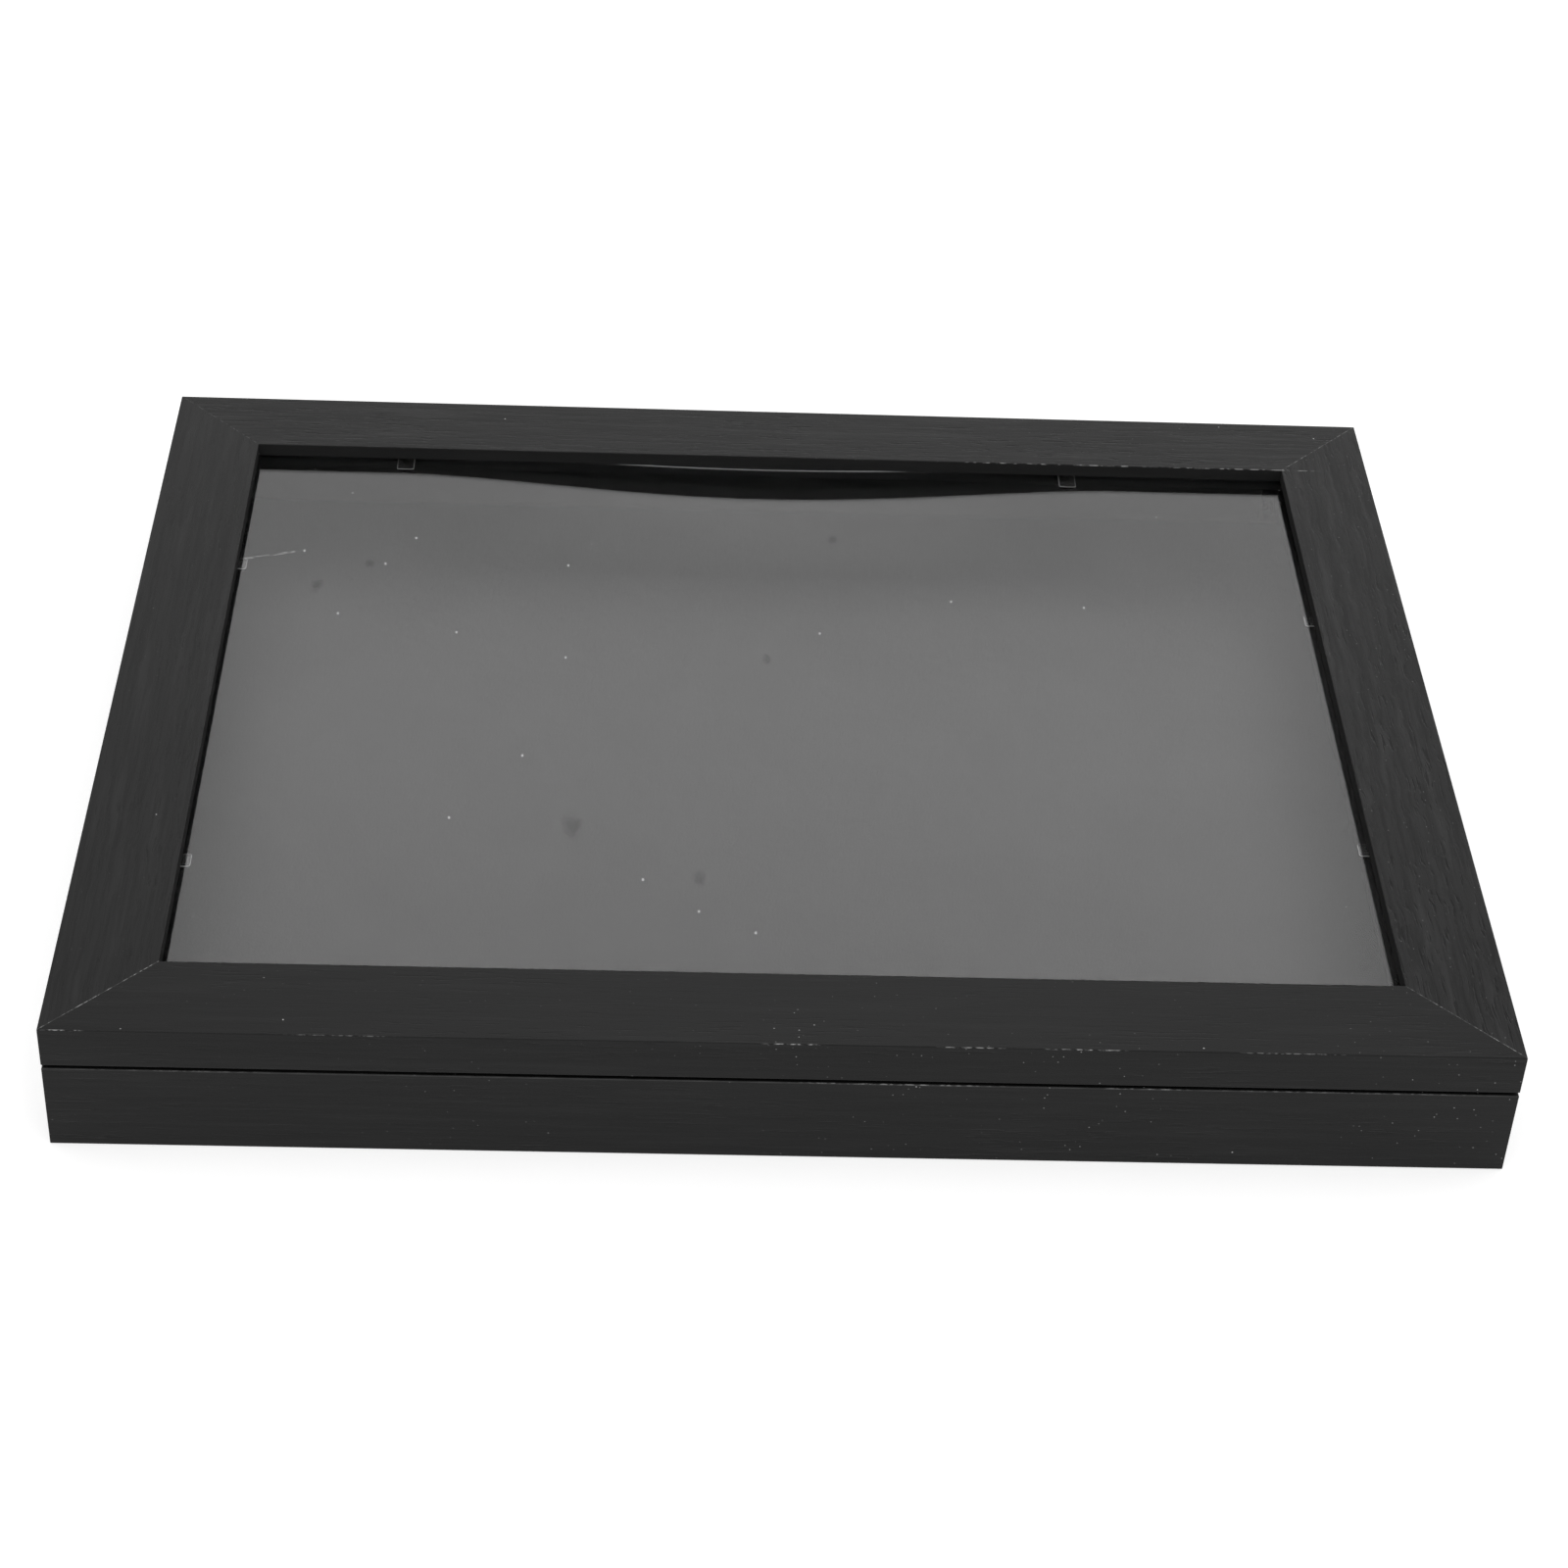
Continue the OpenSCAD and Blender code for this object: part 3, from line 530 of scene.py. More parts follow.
# %% Make the box and the door
LIP_THICKNESS = 5.6 * MM
LIP_BOTTOM = DOOR_TOP - LIP_THICKNESS
REBATE_WIDTH = 8 * MM
BACK_REBATE_WIDTH = 7 * MM
BOARD_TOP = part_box("back_board")[1].z
WALL_THICKNESS = HALF_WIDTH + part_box("case_wall_front")[1].y
RAIL_WIDTH = HALF_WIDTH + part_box("door_rail_front")[1].y

BOX_BLOCK = ((0, 0), (WALL_THICKNESS - BACK_REBATE_WIDTH, BOX_TOP))
BOX_STEP = (BACK_REBATE_WIDTH, BOARD_TOP)
DOOR_BLOCK = ((0, DOOR_BOTTOM), (RAIL_WIDTH - REBATE_WIDTH, DOOR_TOP))
DOOR_STEP = (REBATE_WIDTH, LIP_BOTTOM)
DOOR_NODES = ("door_rail_front", "door_stile_right", "door_rail_back", "door_stile_left")


def select_only(piece):
    """Makes a piece the only selected one, and the active one."""
    bpy.ops.object.select_all(action="DESELECT")
    piece.select_set(True)
    bpy.context.view_layer.objects.active = piece


def copy_piece(model, name):
    """A copy with a mesh of its own, alone selected."""
    select_only(model)
    bpy.ops.object.duplicate()
    copy = bpy.context.object
    copy.name = name
    copy.data.name = name
    return copy


def quarter_turns(piece, count):
    """Turns a selected piece about Z by quarter turns, with the turn kept in its mesh."""
    piece.rotation_euler.z = count * math.pi / 2
    bpy.ops.object.transform_apply(location=True, rotation=True, scale=True)


wood = {}
wood_models = {}
for turns, side in enumerate(SIDES):
    span, reach = 2 * HALF_LENGTH, 2 * HALF_WIDTH
    if turns % 2:
        span, reach = reach, span
    for cad_node, block, step in (
        (f"case_wall_{side}", BOX_BLOCK, BOX_STEP),
        (DOOR_NODES[turns], DOOR_BLOCK, DOOR_STEP),
    ):
        if (span, block) not in wood_models:
            wood_models[span, block] = mitred_length(span, reach, block, step)
        wood[cad_node] = copy_piece(wood_models[span, block], f"black_{cad_node}")
        quarter_turns(wood[cad_node], turns)
for model in wood_models.values():
    bpy.data.objects.remove(model)
print("mitred lengths:", {name: len(piece.data.polygons) for name, piece in wood.items()})

# %% [markdown]
# ## Pockets in the wood
# Nails, magnets and strike discs lie flush in the wood. If the wood ran through them, two faces would
# share one place and flicker. The pockets are cut with Boolean modifiers by copies of the metal itself,
# joined into one cutter, so that they fit without any measuring.

# %% Make the cutter
FLUSH_METAL = (
    "case_corner_nails", "door_corner_nails", "catch_magnet_left", "catch_magnet_right",
    "strike_disc_left", "strike_disc_right",
)
MERGE_REACH = 0.001 * MM

select_only(nodes[FLUSH_METAL[0]])
for name in FLUSH_METAL:
    nodes[name].select_set(True)
bpy.ops.object.duplicate()
bpy.ops.object.join()
cutter = bpy.context.object
cutter.parent = None
bpy.ops.object.mode_set(mode="EDIT")
bpy.ops.mesh.select_all(action="SELECT")
bpy.ops.mesh.remove_doubles(threshold=MERGE_REACH)
bpy.ops.object.mode_set(mode="OBJECT")
print("cutter faces:", len(cutter.data.polygons))

# %% [markdown]
# After the cut, the bevels are shaded smooth and the flat faces kept flat by weighted normals. Then the
# piece gets its finish and is handed over: the CAD node that it stands for is hidden, and the piece is
# attached to the body that it moves with.

# %% Cut the pockets and hand the wood over
SMOOTH_ANGLE = math.radians(35)
SMOOTH_WEIGHT = 100


def apply_modifiers(piece):
    """Applies every modifier of a piece, in order."""
    bpy.context.view_layer.objects.active = piece
    for modifier in list(piece.modifiers):
        bpy.ops.object.modifier_apply(modifier=modifier.name)


def smooth(piece):
    """Shades the bevels smooth and keeps the flat faces flat."""
    bpy.ops.object.shade_smooth_by_angle(angle=SMOOTH_ANGLE)
    even = piece.modifiers.new("even normals", "WEIGHTED_NORMAL")
    even.keep_sharp = True
    even.weight = SMOOTH_WEIGHT
    apply_modifiers(piece)


def hand_over(piece, body, slot, *replaced):
    """Hides the CAD nodes that a finished piece stands for and attaches the piece to its body; the slot is
    not used.
    """
    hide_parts(*replaced)
    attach(piece, body)


def paint_wood(piece, side):
    """Black wood outside. Faces that look into the case get the lip's finish, or below it the inside's,
    which is paler as painted light.
    """
    piece.data.materials.clear()
    for material in (BLACK_WOOD[side], MATT_LIP[side], MATT_INSIDE_PAINTED_LIGHT):
        piece.data.materials.append(material)
    for face in piece.data.polygons:
        axis = max((0, 1), key=lambda a: abs(face.normal[a]))
        inwards = -face.normal[axis] * math.copysign(1, face.center[axis])
        if inwards > FACING and face.center.z > BOARD_TOP:
            face.material_index = 1 if face.center.z > LIP_BOTTOM else 2


for cad_node, piece in wood.items():
    select_only(piece)
    cut = piece.modifiers.new("pockets", "BOOLEAN")
    cut.operation = "DIFFERENCE"
    cut.object = cutter
    cut.solver = "EXACT"
    apply_modifiers(piece)
    smooth(piece)
    paint_wood(piece, cad_node.split("_")[-1])
    hand_over(piece, "door" if cad_node in DOOR_NODES else "case", "black_wood", cad_node)
bpy.data.objects.remove(cutter)
print("faces with pockets:", {name: len(piece.data.polygons) for name, piece in wood.items()})

# %% [markdown]
# ## Clear pane
# The pane is a thin sheet of clear plastic with a few marks: greasy smudges, specks of dust and one fine
# scratch. They could be an image, but here each is a distance in the finish: from a spot, or from a line.
# The places are the real pane's, in metres from the middle of the case. A smudge also has its radius and
# its strength.

# %% Marks on the pane
PANE_SMUDGES = (
    (-76 * MM, -77 * MM, 5 * MM, 1.0), (-30 * MM, -106 * MM, 3.3 * MM, 0.7),
    (-182 * MM, 72 * MM, 3.2 * MM, 0.8), (-162 * MM, 88 * MM, 2.8 * MM, 0.75),
    (24 * MM, 115 * MM, 3.2 * MM, 0.65), (-4 * MM, 29 * MM, 2.4 * MM, 0.85),
)
PANE_SPECKS = (
    (-189 * MM, 96 * MM), (-156 * MM, 88 * MM), (-145 * MM, 107 * MM), (-125 * MM, 42 * MM),
    (-83 * MM, 90 * MM), (-172 * MM, 53 * MM), (-82 * MM, 27 * MM), (-96 * MM, -36 * MM),
    (-121 * MM, -74 * MM), (-50 * MM, -107 * MM), (-30 * MM, -124 * MM), (-10 * MM, -135 * MM),
    (17 * MM, 47 * MM), (70 * MM, 71 * MM), (123 * MM, 69 * MM),
)
SMUDGE_LENGTH = 0.6
SMUDGE_FADE = (0.7, 1.5)
SPECK_RADIUS = (0.3 * MM, 0.52 * MM)
SCRATCH_START = Vector((-213.5 * MM, 88.8 * MM, 0))
SCRATCH_END = Vector((-189.3 * MM, 96.1 * MM, 0))
SCRATCH_WIDTH = (0.06 * MM, 0.22 * MM)
SCRATCH_RISE = 2 * MM
SCRATCH_TAIL = 0.8


def smudges(tree, coords):
    """Greasy marks: spots with uneven outlines, a little longer from front to back."""
    uneven = noise(tree, coords, 260, detail=2)
    plan = vector_calc(tree, "MULTIPLY", coords, (1, SMUDGE_LENGTH, 0)).outputs[0]
    mask = 0.0
    for x, y, radius, strength in PANE_SMUDGES:
        away = vector_calc(tree, "DISTANCE", plan, (x, SMUDGE_LENGTH * y, 0)).outputs["Value"]
        away = calc(tree, "ADD", away, calc(tree, "MULTIPLY", uneven, radius))
        start, end = (share * radius for share in SMUDGE_FADE)
        mask = calc(tree, "MAXIMUM", mask, fade(tree, away, start, end, strength, 0.0))
    return mask


def single_specks(tree, coords):
    """The few specks of dust that catch the eye."""
    plan = vector_calc(tree, "MULTIPLY", coords, (1, 1, 0)).outputs[0]
    mask = 0.0
    for x, y in PANE_SPECKS:
        away = vector_calc(tree, "DISTANCE", plan, (x, y, 0)).outputs["Value"]
        mask = calc(tree, "MAXIMUM", mask, fade(tree, away, *SPECK_RADIUS, 1.0, 0.0))
    return mask


def scratch(tree, coords):
    """One fine scratch beside the left stile."""
    line = SCRATCH_END - SCRATCH_START
    run = line.normalized()
    from_start = vector_calc(tree, "SUBTRACT", coords, SCRATCH_START).outputs[0]
    along = vector_calc(tree, "DOT_PRODUCT", from_start, run).outputs["Value"]
    across = vector_calc(tree, "DOT_PRODUCT", from_start, (-run.y, run.x, 0)).outputs["Value"]
    thin = fade(tree, calc(tree, "ABSOLUTE", across), *SCRATCH_WIDTH, 1.0, 0.0)
    starts = fade(tree, along, 0, SCRATCH_RISE)
    ends = fade(tree, along, SCRATCH_TAIL * line.length, line.length, 1.0, 0.0)
    inside = calc(tree, "MULTIPLY", starts, ends)
    broken = fade(tree, noise(tree, coords, 420, detail=2), 0.42, 0.62, 0.1, 1.0)
    return calc(tree, "MULTIPLY", calc(tree, "MULTIPLY", thin, inside), broken)


print("marks on the pane:", len(PANE_SMUDGES), "smudges and", len(PANE_SPECKS), "specks")

# %% [markdown]
# Clear plastic is one transmitting shader, and what makes it look real is what isn't clear: the marks, a
# slight haze, and the edge. A cut edge is left from the saw, so it is frosted, and it looks white because
# the sheet carries light to it, which a little emitted glow paints in as painted light. The clips are
# moulded of the same plastic and a little wavy, and their rims get a pale finish as a painted highlight.

# %% Finishes for clear plastic and its cut edge
PLASTIC_INDEX = 1.49
PANE_DUST = (16 * MM, 0.35 * MM)
CLEAR_GREY, HAZE_GREY = 0.99, 0.955
SMUDGE_GREY, MARK_GREY = 0.6, 0.8
MARK_COVER = 0.7


def pane_plastic():
    """Polished clear plastic with a few smudges, some dust and a scratch."""
    material, tree, shader, coords = start_material("pane_plastic", IOR=PLASTIC_INDEX, Roughness=0.06)
    white = calc(tree, "MAXIMUM", single_specks(tree, coords), scratch(tree, coords))
    white = calc(tree, "MAXIMUM", white, specks(tree, coords, *PANE_DUST))
    haze = noise(tree, coords, 22, detail=3, shift=(4, 2, 1))
    tint = mix_colour(tree, fade(tree, haze, 0.35, 0.7), grey(CLEAR_GREY), grey(HAZE_GREY))
    tint = mix_colour(tree, smudges(tree, coords), tint, grey(SMUDGE_GREY))
    tree.links.new(mix_colour(tree, white, tint, grey(MARK_GREY)), shader.inputs["Base Color"])
    clear = calc(tree, "SUBTRACT", 1.0, calc(tree, "MULTIPLY", white, MARK_COVER))
    tree.links.new(clear, shader.inputs["Transmission Weight"])
    return material


def clip_plastic():
    """Moulded clear plastic, a little wavy."""
    material, tree, shader, coords = start_material(
        "clip_plastic", Transmission_Weight=0.985, IOR=PLASTIC_INDEX, Base_Color=grey(0.96)
    )
    ripple = noise(tree, coords, 300, detail=2)
    tree.links.new(fade(tree, ripple, 0.3, 0.7, 0.03, 0.12), shader.inputs["Roughness"])
    return material


def frosted_edge_painted_light(name, white, painted_glow):
    """Cut edge of clear plastic, pale with fine saw marks, with an emitted glow as painted light for what
    the sheet carries to it.
    """
    material, tree, shader, coords = start_material(
        name, Transmission_Weight=0.1, IOR=PLASTIC_INDEX,
        Emission_Color=grey(1.0), Emission_Strength=painted_glow,
    )
    saw = noise(tree, coords, 1800, (1, 1, 0.1), detail=2)
    tree.links.new(mix_colour(tree, saw, grey(0.8 * white), grey(white)), shader.inputs["Base Color"])
    tree.links.new(fade(tree, saw, 0.3, 0.7, 0.45, 0.7), shader.inputs["Roughness"])
    add_bump(tree, shader, saw, 0.05 * MM)
    return material


PANE_PLASTIC = pane_plastic()
CLIP_PLASTIC = clip_plastic()
# Painted light: the pane's cut edge glows a little, and the clip rims are pale as a painted highlight.
PANE_EDGE = frosted_edge_painted_light("pane_edge", white=0.97, painted_glow=0.07)
CLIP_RIM_HIGHLIGHT = frosted_edge_painted_light("clip_rim", white=0.6, painted_glow=0.0)
print("finishes for clear plastic:", PANE_PLASTIC.name, PANE_EDGE.name, CLIP_PLASTIC.name, CLIP_RIM_HIGHLIGHT.name)

# %% [markdown]
# The pane lies on its clips, and between the two clips of the back rail it has drooped, which shows as
# the bent edge of its reflection. A flat box would miss that, so a fine grid is bent by the same smooth
# swell as the real sheet, and a Solidify modifier then gives it its thickness and its frosted rim.

# %% Model the pane
PANE_THICKNESS = 1.2 * MM
SAG_REACH = 85 * MM
SAG_FROM_LEFT = 2 * MM
SAG_PAST_RIGHT = 18 * MM
SAG_SWELL = 1.5
SAG_FADE = 1.3
PANE_COLUMNS = 170
PANE_ROWS = 130

pane_low, pane_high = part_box("pane")
pane_sag = pane_high.z - pane_low.z - PANE_THICKNESS
sag_left = sum(corner.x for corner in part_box("pane_clip_6")) / 2 + SAG_FROM_LEFT
sag_right = sum(corner.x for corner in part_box("pane_clip_5")) / 2 + SAG_PAST_RIGHT


def add_grid(name, size, height, columns, rows):
    """A flat grid over the middle of the case at a height, alone selected, with its place in its mesh."""
    bpy.ops.object.select_all(action="DESELECT")
    bpy.ops.mesh.primitive_grid_add(
        x_subdivisions=columns, y_subdivisions=rows, size=1, location=(0, 0, height)
    )
    grid = bpy.context.object
    grid.name = name
    grid.data.name = name
    grid.scale = (size.x, size.y, 1)
    bpy.ops.object.transform_apply(location=True, rotation=True, scale=True)
    return grid


def thicken(sheet, thickness):
    """Gives a sheet its thickness, downwards, with any second finish on its rim."""
    solid = sheet.modifiers.new("thickness", "SOLIDIFY")
    solid.thickness = thickness
    solid.offset = -1
    solid.material_offset_rim = len(sheet.data.materials) - 1
    apply_modifiers(sheet)
    bpy.ops.object.shade_smooth_by_angle(angle=SMOOTH_ANGLE)


def pane_drop(x, y):
    """How far the pane has drooped at a place."""
    across = (x - sag_left) / (sag_right - sag_left)
    inwards = (y - pane_high.y + SAG_REACH) / SAG_REACH
    if not 0 < across < 1 or inwards < 0:
        return 0.0
    return pane_sag * math.sin(math.pi * across) ** SAG_SWELL * inwards ** SAG_FADE


pane = add_grid("drooping_pane", pane_high - pane_low, pane_high.z, PANE_COLUMNS, PANE_ROWS)
for vertex in pane.data.vertices:
    vertex.co.z = pane_high.z - pane_drop(vertex.co.x, vertex.co.y)
pane.data.materials.append(PANE_PLASTIC)
pane.data.materials.append(PANE_EDGE)
thicken(pane, PANE_THICKNESS)
hand_over(pane, "door", "clear_pane", "pane")
print("pane faces:", len(pane.data.polygons), "droop in mm:", round(pane_sag / MM, 2))

# %% [markdown]
# ## Pane clips
# Eight clear clips hold the pane up. Each is a moulded L: a leg screwed to the rail, and a tongue under the
# pane whose rounded tip shows past the lip. The tongue's eased rim gets a rough, pale finish, a painted
# highlight for the light it catches, so it shows as a pale outline. The long and the short kind are each
# modelled once, lying along Y, and every clip is a copy that is turned and moved to its place.

# %% Model one clip
CLIP_THICKNESS = 1.2 * MM
CLIP_LEG = 7.5 * MM
CLIP_ROUND = 0.9 * MM
CLIP_EASE = 0.2 * MM
LEAST_SLOPE, MOST_SLOPE = 0.1, 0.98


def clip_shape(width, tongue):
    """A clip with the back of its leg at Y = 0, its tongue along +Y and its top at Z = 0."""
    piece = add_block("clip", (-width / 2, 0, -CLIP_LEG), (width / 2, CLIP_THICKNESS, 0))
    bpy.ops.object.mode_set(mode="EDIT")
    bisect_all((0, 0, -CLIP_THICKNESS), (0, 0, 1))
    pick(piece, "FACE", lambda f: f.normal.y > FACING and middle(f).z > -CLIP_THICKNESS)
    bpy.ops.mesh.extrude_region_move(TRANSFORM_OT_translate={"value": (0, tongue - CLIP_THICKNESS, 0)})

    def is_tip_corner(edge):
        upright = abs(edge.verts[0].co.z - edge.verts[1].co.z) > TINY
        return upright and min(v.co.y for v in edge.verts) > tongue - TINY

    pick(piece, "EDGE", is_tip_corner)
    bpy.ops.mesh.bevel(offset=CLIP_ROUND, segments=4, affect="EDGES")
    pick(piece, "EDGE", lambda e: e.is_convex and e.calc_face_angle(0) > SHARP_ANGLE)
    bpy.ops.mesh.bevel(offset=CLIP_EASE, segments=2, affect="EDGES")
    bpy.ops.object.mode_set(mode="OBJECT")
    piece.data.materials.append(CLIP_PLASTIC)
    piece.data.materials.append(CLIP_RIM_HIGHLIGHT)
    # The rim faces take the pale finish, a painted highlight.
    for face in piece.data.polygons:
        if face.center.y > CLIP_THICKNESS and LEAST_SLOPE < face.normal.z < MOST_SLOPE:
            face.material_index = 1
    return piece


# %% Copy the clips to their places
CLIP_TURNS = (0, 0, 1, 1, 2, 2, 3, 3)

clip_models = {}
for number, turns in enumerate(CLIP_TURNS, start=1):
    cad_node = f"pane_clip_{number}"
    low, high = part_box(cad_node)
    centre, size = (low + high) / 2, high - low
    width, tongue = (size.y, size.x) if turns % 2 else (size.x, size.y)
    if turns % 2 not in clip_models:
        clip_models[turns % 2] = clip_shape(width, tongue)
    clip = copy_piece(clip_models[turns % 2], f"clear_clip_{number}")
    quarter_turns(clip, turns)
    leg_back = ((centre.x, low.y), (high.x, centre.y), (centre.x, high.y), (low.x, centre.y))[turns]
    clip.location = (*leg_back, high.z)
    bpy.ops.object.transform_apply(location=True, rotation=True, scale=True)
    smooth(clip)
    hand_over(clip, "door", "clear_clip", cad_node)
for model in clip_models.values():
    bpy.data.objects.remove(model)
print("clips:", len(CLIP_TURNS), "with tongues of", round(tongue / MM, 1), "mm on the short sides")

# %% [markdown]
# ## Black felt
# The inside is lined with black felt, which is why the pane reads as a clean grey mirror. It is a
# sheet laid flat on the back board. Particle fibres would be heavy and are never seen so close, so the
# nap is a fine fuzz in the material.

# %% Finish for felt
def black_felt():
    """Matted black fibres with a soft sheen."""
    material, tree, shader, coords = start_material(
        "black_felt", Specular_IOR_Level=0.05, Sheen_Weight=0.06, Sheen_Roughness=0.5
    )
    fibres = noise(tree, coords, 1600)
    clumps = noise(tree, coords, 120, shift=(2, 1, 5))
    lint = add_node(tree, "ShaderNodeTexVoronoi", {"Vector": coords, "Scale": 60.0}).outputs["Distance"]
    colour = mix_colour(tree, fibres, grey(0.005), grey(0.01))
    colour = mix_colour(tree, fade(tree, clumps, 0.4, 0.8, 0.0, 0.4), colour, grey(0.012))
    colour = mix_colour(tree, fade(tree, lint, 0.01, 0.02, 0.6, 0.0), colour, grey(0.25))
    tree.links.new(colour, shader.inputs["Base Color"])
    tree.links.new(fade(tree, fibres, 0.2, 0.8, 0.85, 1.0), shader.inputs["Roughness"])
    add_bump(tree, shader, calc(tree, "ADD", fibres, clumps), 0.25 * MM)
    return material


# %% [markdown]
# Glued felt is never quite flat. The sheet is a grid that two slow waves lower a little, and it is then
# thickened downwards to the board that it rests on.

# %% Make the felt
FELT_STEP = 4 * MM
FELT_SWELL = 0.12 * MM
SHORT_WAVE_X, SHORT_WAVE_Y, LONG_WAVE_X = 41, 53, 17

felt_low, felt_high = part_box("felt_lining")
felt_size = felt_high - felt_low
felt_columns, felt_rows = round(felt_size.x / FELT_STEP), round(felt_size.y / FELT_STEP)
felt = add_grid("felt_sheet", felt_size, felt_high.z, felt_columns, felt_rows)
for vertex in felt.data.vertices:
    x, y = vertex.co.x, vertex.co.y
    wave = math.sin(x * SHORT_WAVE_X) * math.sin(y * SHORT_WAVE_Y) + math.sin(x * LONG_WAVE_X + 1)
    vertex.co.z -= FELT_SWELL * (2 + wave) / 4
felt.data.materials.append(black_felt())
thicken(felt, felt_size.z - FELT_SWELL)
hand_over(felt, "case", "black_felt", "felt_lining")
print("felt in mm:", [round(v / MM, 1) for v in felt_size])

# %% [markdown]
# ## Metal, board and small parts
# The hinges, screws, magnets and hangers keep their shapes from the frame and only need finishes.
# Plated steel is never one even grey: rolling and handling leave fine lines and dull patches. So each
# metal mixes stretched noise into its roughness and a slow noise into its colour.

# %% Finish for metals
DULL_SHARE = 0.72
LINE_ROUGH = 0.14
PATCH_ROUGH = 0.12
MEAN_ROUGH = 0.12


def plated_metal(name, colour, rough, lines):
    """Plated steel with fine lines along one axis and duller patches."""
    material, tree, shader, coords = start_material(name, Metallic=1.0)
    scratches = noise(tree, coords, 2500, lines, detail=3)
    patches = noise(tree, coords, 180, shift=(3, 7, 2))
    dull = tuple(DULL_SHARE * c for c in colour)
    tint = mix_colour(tree, fade(tree, patches, 0.35, 0.75), (*colour, 1), (*dull, 1))
    tree.links.new(tint, shader.inputs["Base Color"])
    uneven = calc(tree, "MULTIPLY_ADD", patches, PATCH_ROUGH, calc(tree, "MULTIPLY", scratches, LINE_ROUGH))
    tree.links.new(calc(tree, "ADD", uneven, rough - MEAN_ROUGH), shader.inputs["Roughness"])
    add_bump(tree, shader, scratches, 0.02 * MM)
    return material


def black_oxide():
    """Black screws with a dull sheen."""
    material, tree, shader, coords = start_material("black_oxide", Metallic=0.6)
    patches = noise(tree, coords, 500)
    tree.links.new(mix_colour(tree, patches, grey(0.012), grey(0.04)), shader.inputs["Base Color"])
    tree.links.new(fade(tree, patches, 0.3, 0.7, 0.35, 0.55), shader.inputs["Roughness"])
    return material


# %% [markdown]
# The back board is bare hardboard: pressed brown fibres, smooth but mottled. The bumpers are clear
# soft rubber, and the rod and its cups are black plastic, the rod with a satin skin and the cups
# with a fine moulded texture. All are noise at the scale of what they show: fibres, cloud or grain.

# %% Finish for board, rubber and plastic
def hardboard():
    """Pressed brown wood fibres."""
    material, tree, shader, coords = start_material("hardboard", Specular_IOR_Level=0.3)
    fibres = noise(tree, coords, 420, (0.35, 1, 1), detail=8)
    flecks = noise(tree, coords, 1100, (1, 0.3, 1), detail=3, shift=(2, 2, 9))
    clouds = noise(tree, coords, 14, shift=(8, 1, 3))
    brown = mix_colour(tree, fibres, (0.15, 0.085, 0.042, 1), (0.34, 0.21, 0.115, 1))
    brown = mix_colour(tree, fade(tree, clouds, 0.3, 0.75, 0.0, 0.45), brown, (0.24, 0.14, 0.07, 1))
    brown = mix_colour(tree, fade(tree, flecks, 0.62, 0.7, 0.0, 0.7), brown, (0.07, 0.038, 0.02, 1))
    tree.links.new(brown, shader.inputs["Base Color"])
    tree.links.new(fade(tree, fibres, 0.3, 0.7, 0.55, 0.75), shader.inputs["Roughness"])
    add_bump(tree, shader, fibres, 0.12 * MM)
    return material


def black_plastic(name, rough, grain_scale, grain_depth):
    """Black plastic with a fine texture."""
    material, tree, shader, coords = start_material(name, Specular_IOR_Level=0.15)
    texture = noise(tree, coords, grain_scale, detail=3)
    wipes = noise(tree, coords, 40, (1, 0.2, 1), detail=3, shift=(6, 2, 1))
    tree.links.new(mix_colour(tree, wipes, grey(0.012), grey(0.022)), shader.inputs["Base Color"])
    tree.links.new(fade(tree, wipes, 0.3, 0.7, rough - 0.06, rough + 0.08), shader.inputs["Roughness"])
    add_bump(tree, shader, texture, grain_depth)
    return material


def clear_rubber():
    """Soft clear rubber, a little cloudy."""
    material, tree, shader, coords = start_material("clear_rubber", Transmission_Weight=0.85, IOR=1.45)
    cloud = noise(tree, coords, 400)
    tree.links.new(mix_colour(tree, cloud, grey(0.75), grey(0.92)), shader.inputs["Base Color"])
    tree.links.new(fade(tree, cloud, 0.3, 0.7, 0.18, 0.35), shader.inputs["Roughness"])
    return material


# %% [markdown]
# The record names a finish for every part, so the frame's own parts are dressed by that name. This
# changes only their finish: their shape and place stay as they were packed.

# %% Put the finishes on the frame's own parts
FINISHES = {
    "bare_board": hardboard(),
    "nail_steel": plated_metal("nail_steel", (0.42, 0.42, 0.43), rough=0.42, lines=(1, 1, 0.1)),
    "zinc_screw": plated_metal("zinc_plate", (0.66, 0.67, 0.69), rough=0.3, lines=(1, 0.2, 1)),
    "black_screw": black_oxide(),
    "hinge_steel": plated_metal("nickel_plate", (0.64, 0.62, 0.58), rough=0.26, lines=(0.05, 1, 1)),
    "magnet_nickel": plated_metal("bright_nickel", (0.7, 0.68, 0.64), rough=0.2, lines=(1, 1, 1)),
    "strike_steel": plated_metal("strike_zinc", (0.58, 0.59, 0.61), rough=0.32, lines=(0.1, 1, 1)),
    "clear_rubber": clear_rubber(),
    "rod_black": black_plastic("rod_satin", rough=0.46, grain_scale=900, grain_depth=0.02 * MM),
    "cup_black": black_plastic("cup_moulded", rough=0.5, grain_scale=1400, grain_depth=0.06 * MM),
    "hanger_steel": plated_metal("hanger_zinc", (0.68, 0.68, 0.69), rough=0.3, lines=(0.1, 1, 1)),
}
slot_of = {part["node"]: part["material_slot"] for part in frame["record"]["subparts"]}
for name, cad_object in nodes.items():
    finish = FINISHES.get(slot_of[name])
    if finish:
        cad_object.data.materials.clear()
        cad_object.data.materials.append(finish)
print("parts with a new finish:", sum(slot_of[name] in FINISHES for name in nodes))

# %% [markdown]
# ## Floor and light
# The case lies on a white sweep in even studio light. A sweep of paper could be lit until it is white, but
# then the black wood would be lit too. So the paper glows a little by itself, and the case keeps its tone.

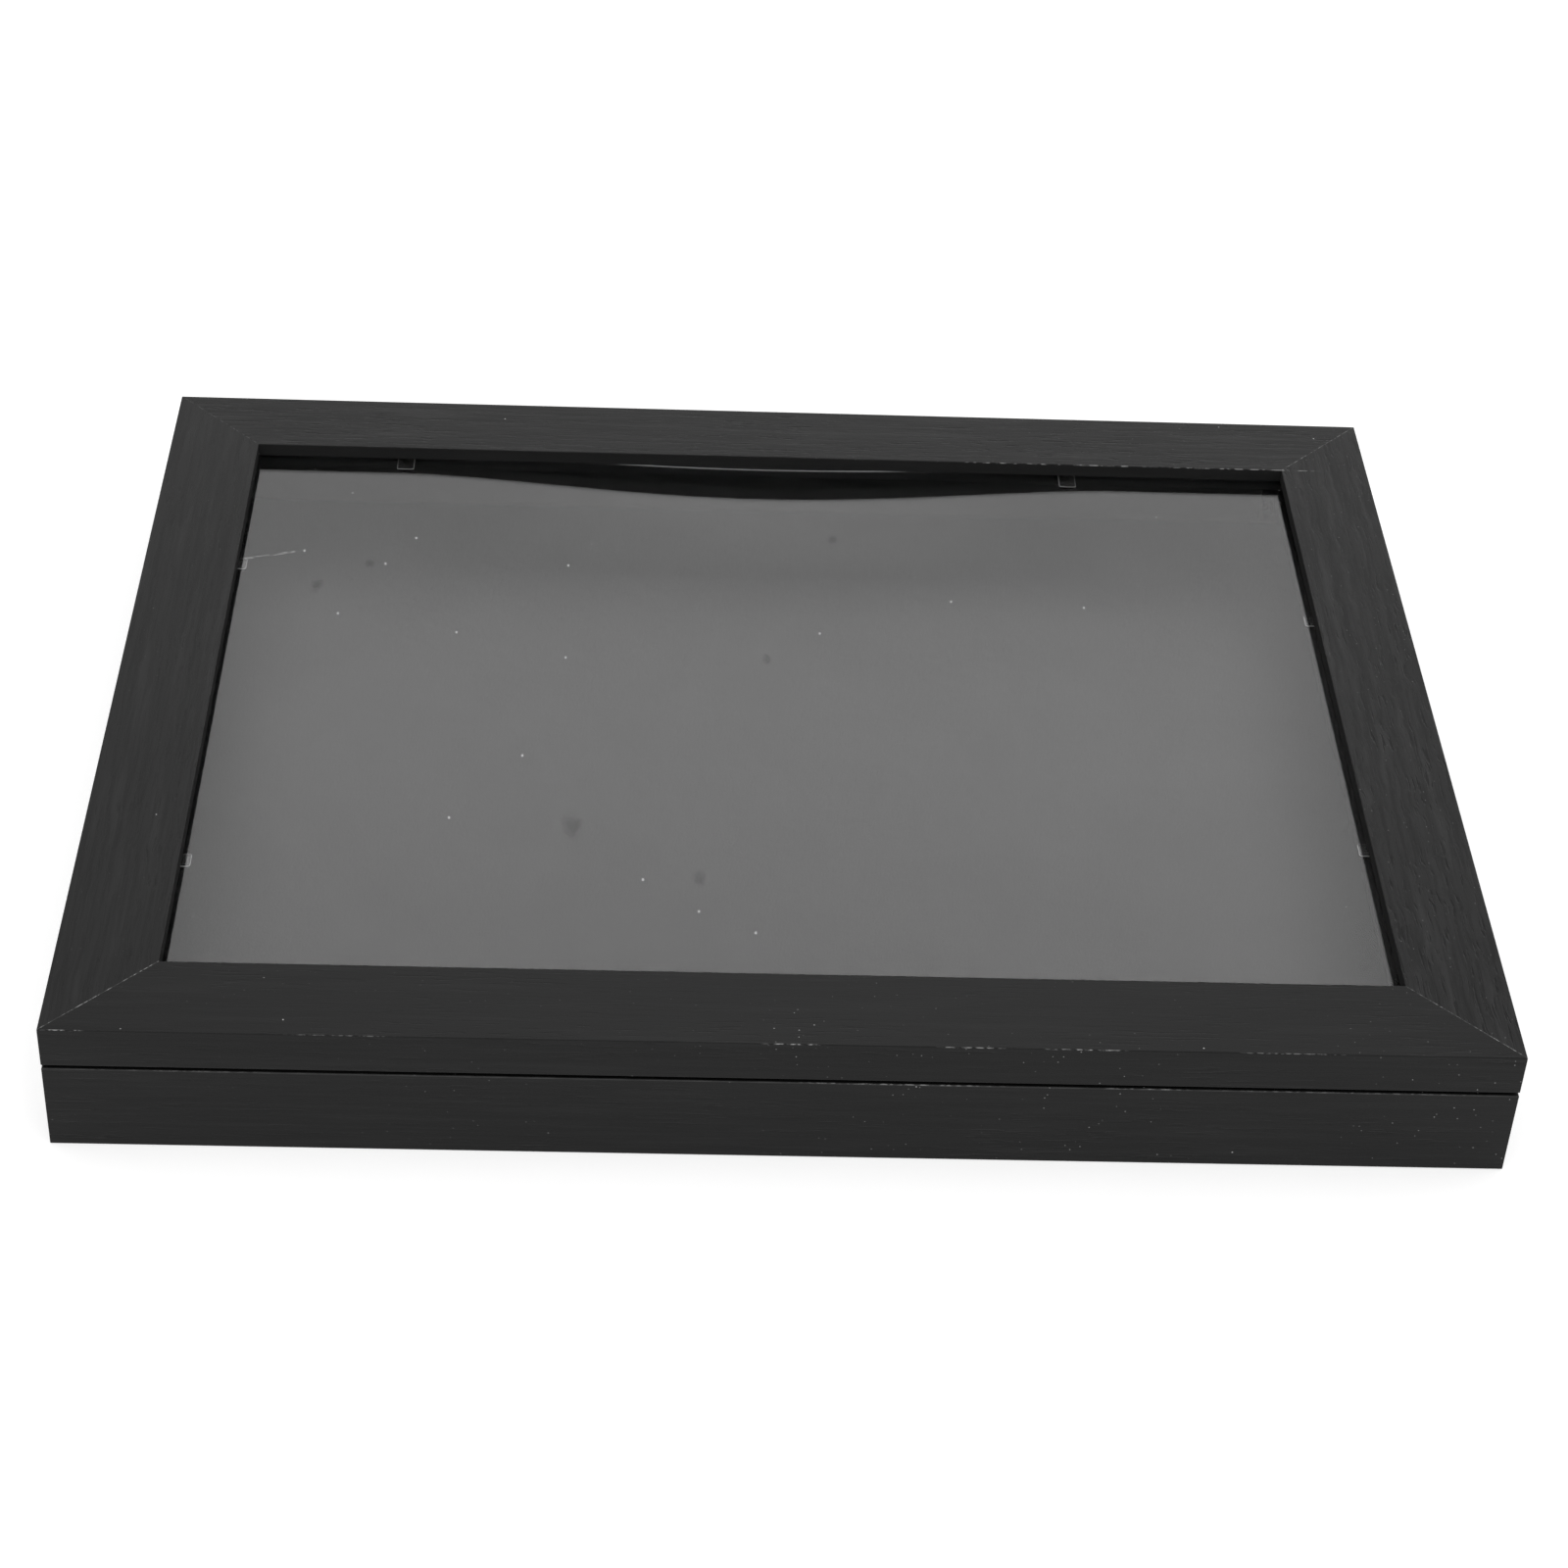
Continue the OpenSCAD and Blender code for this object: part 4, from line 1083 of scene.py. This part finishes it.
# %% Floor
FLOOR_RADIUS = 8.0
FLOOR_SIDES = 96
PAPER_GLOW = 0.55
bpy.ops.object.select_all(action="DESELECT")
bpy.ops.mesh.primitive_circle_add(vertices=FLOOR_SIDES, radius=FLOOR_RADIUS, fill_type="NGON")
floor = bpy.context.object
floor.name = "floor"
paper, tree, shader, coords = start_material(
    "white_paper", Specular_IOR_Level=0.0, Roughness=1.0,
    Emission_Color=grey(1.0), Emission_Strength=PAPER_GLOW,
)
tooth = noise(tree, coords, 60, detail=2)
tree.links.new(mix_colour(tree, tooth, grey(0.62), grey(0.64)), shader.inputs["Base Color"])
floor.data.materials.append(paper)
floor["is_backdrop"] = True
print("floor radius in m:", FLOOR_RADIUS)

# %% [markdown]
# The pane mirrors what is above and behind the case: dim walls, and a lit roof panel. The panel's far edge
# is the soft step that crosses the reflection, and its two sides are why the pane darkens beside the
# stiles. A dome does this better than lamps, because its light is the same from every place. A straight
# edge of the roof is where the distance behind, or to the side, is a fixed share of the height.

# %% Dome
DOME_LIGHT = 0.95
RIGHT_GAIN = 0.3
PANEL_LIGHT = 0.42
PANEL_RISE = 0.11
PANEL_FAR_EDGE = (1.452, 1.426)
PANEL_BRIGHTEST = 1.29
PANEL_SIDES = (-0.2, 0.31)
PANEL_SOFT = 0.035
PANEL_BEHIND = (0.2, 0.5)
HORIZON = 0.01

world = bpy.data.worlds.new("dome")
bpy.context.scene.world = world
world.use_nodes = True
tree = world.node_tree
direction = add_node(tree, "ShaderNodeTexCoord", {}).outputs["Generated"]
right, behind, up = add_node(tree, "ShaderNodeSeparateXYZ", {0: direction}).outputs
height = calc(tree, "MAXIMUM", up, HORIZON)
across = calc(tree, "DIVIDE", right, height)
away = calc(tree, "DIVIDE", behind, height)
panel = fade(tree, away, *PANEL_FAR_EDGE, 0.0, PANEL_LIGHT)
rise = fade(tree, away, PANEL_FAR_EDGE[1], PANEL_BRIGHTEST, 0.0, PANEL_RISE)
panel = calc(tree, "ADD", panel, rise)
for side, outwards in zip(PANEL_SIDES, (-1, 1)):
    soft = outwards * PANEL_SOFT
    panel = calc(tree, "MULTIPLY", panel, fade(tree, across, side + soft, side - soft))
panel = calc(tree, "MULTIPLY", panel, fade(tree, behind, *PANEL_BEHIND))
dome = calc(tree, "MULTIPLY", calc(tree, "MULTIPLY_ADD", right, RIGHT_GAIN, 1.0), DOME_LIGHT)
tree.links.new(calc(tree, "ADD", dome, panel), tree.nodes["Background"].inputs["Strength"])
tree.nodes["Background"].inputs["Color"].default_value = grey(1.0)
print("dome light:", DOME_LIGHT, "and up to", PANEL_LIGHT + PANEL_RISE, "more from the roof panel")

# %% [markdown]
# One wide soft box overhead, a little to the left, adds some shape to the even light. The Standard view
# keeps the paper white, where a film-like view would grey it.

# %% Soft box and view
SOFT_BOX_PLACE = Vector((-0.6, -0.3, 1.9))
SOFT_BOX_SIZE = (1.2, 0.8)
SOFT_BOX_POWER = 4.0

bpy.ops.object.light_add(type="AREA", location=SOFT_BOX_PLACE)
soft_box = bpy.context.object
soft_box.name = "soft_box"
soft_box.data.shape = "RECTANGLE"
soft_box.data.size, soft_box.data.size_y = SOFT_BOX_SIZE
soft_box.data.energy = SOFT_BOX_POWER
soft_box.rotation_euler = (-SOFT_BOX_PLACE).to_track_quat("-Z", "Y").to_euler()

bpy.context.scene.view_settings.view_transform = "Standard"
bpy.context.scene.view_settings.look = "None"
print("soft box", round(SOFT_BOX_PLACE.length, 2), "m from the case")

# %% [markdown]
# ## Sizes
# The looks must not change the size. So the growth of the dressed object's box over the box of the CAD parts
# is printed.

# %% Write the sizes and finish
visual_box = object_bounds()
growth = [round((v - c) / MM, 2) for v, c in zip(visual_box[1] - visual_box[0], cad_high - cad_low)]
print("growth over the CAD box in mm:", growth)
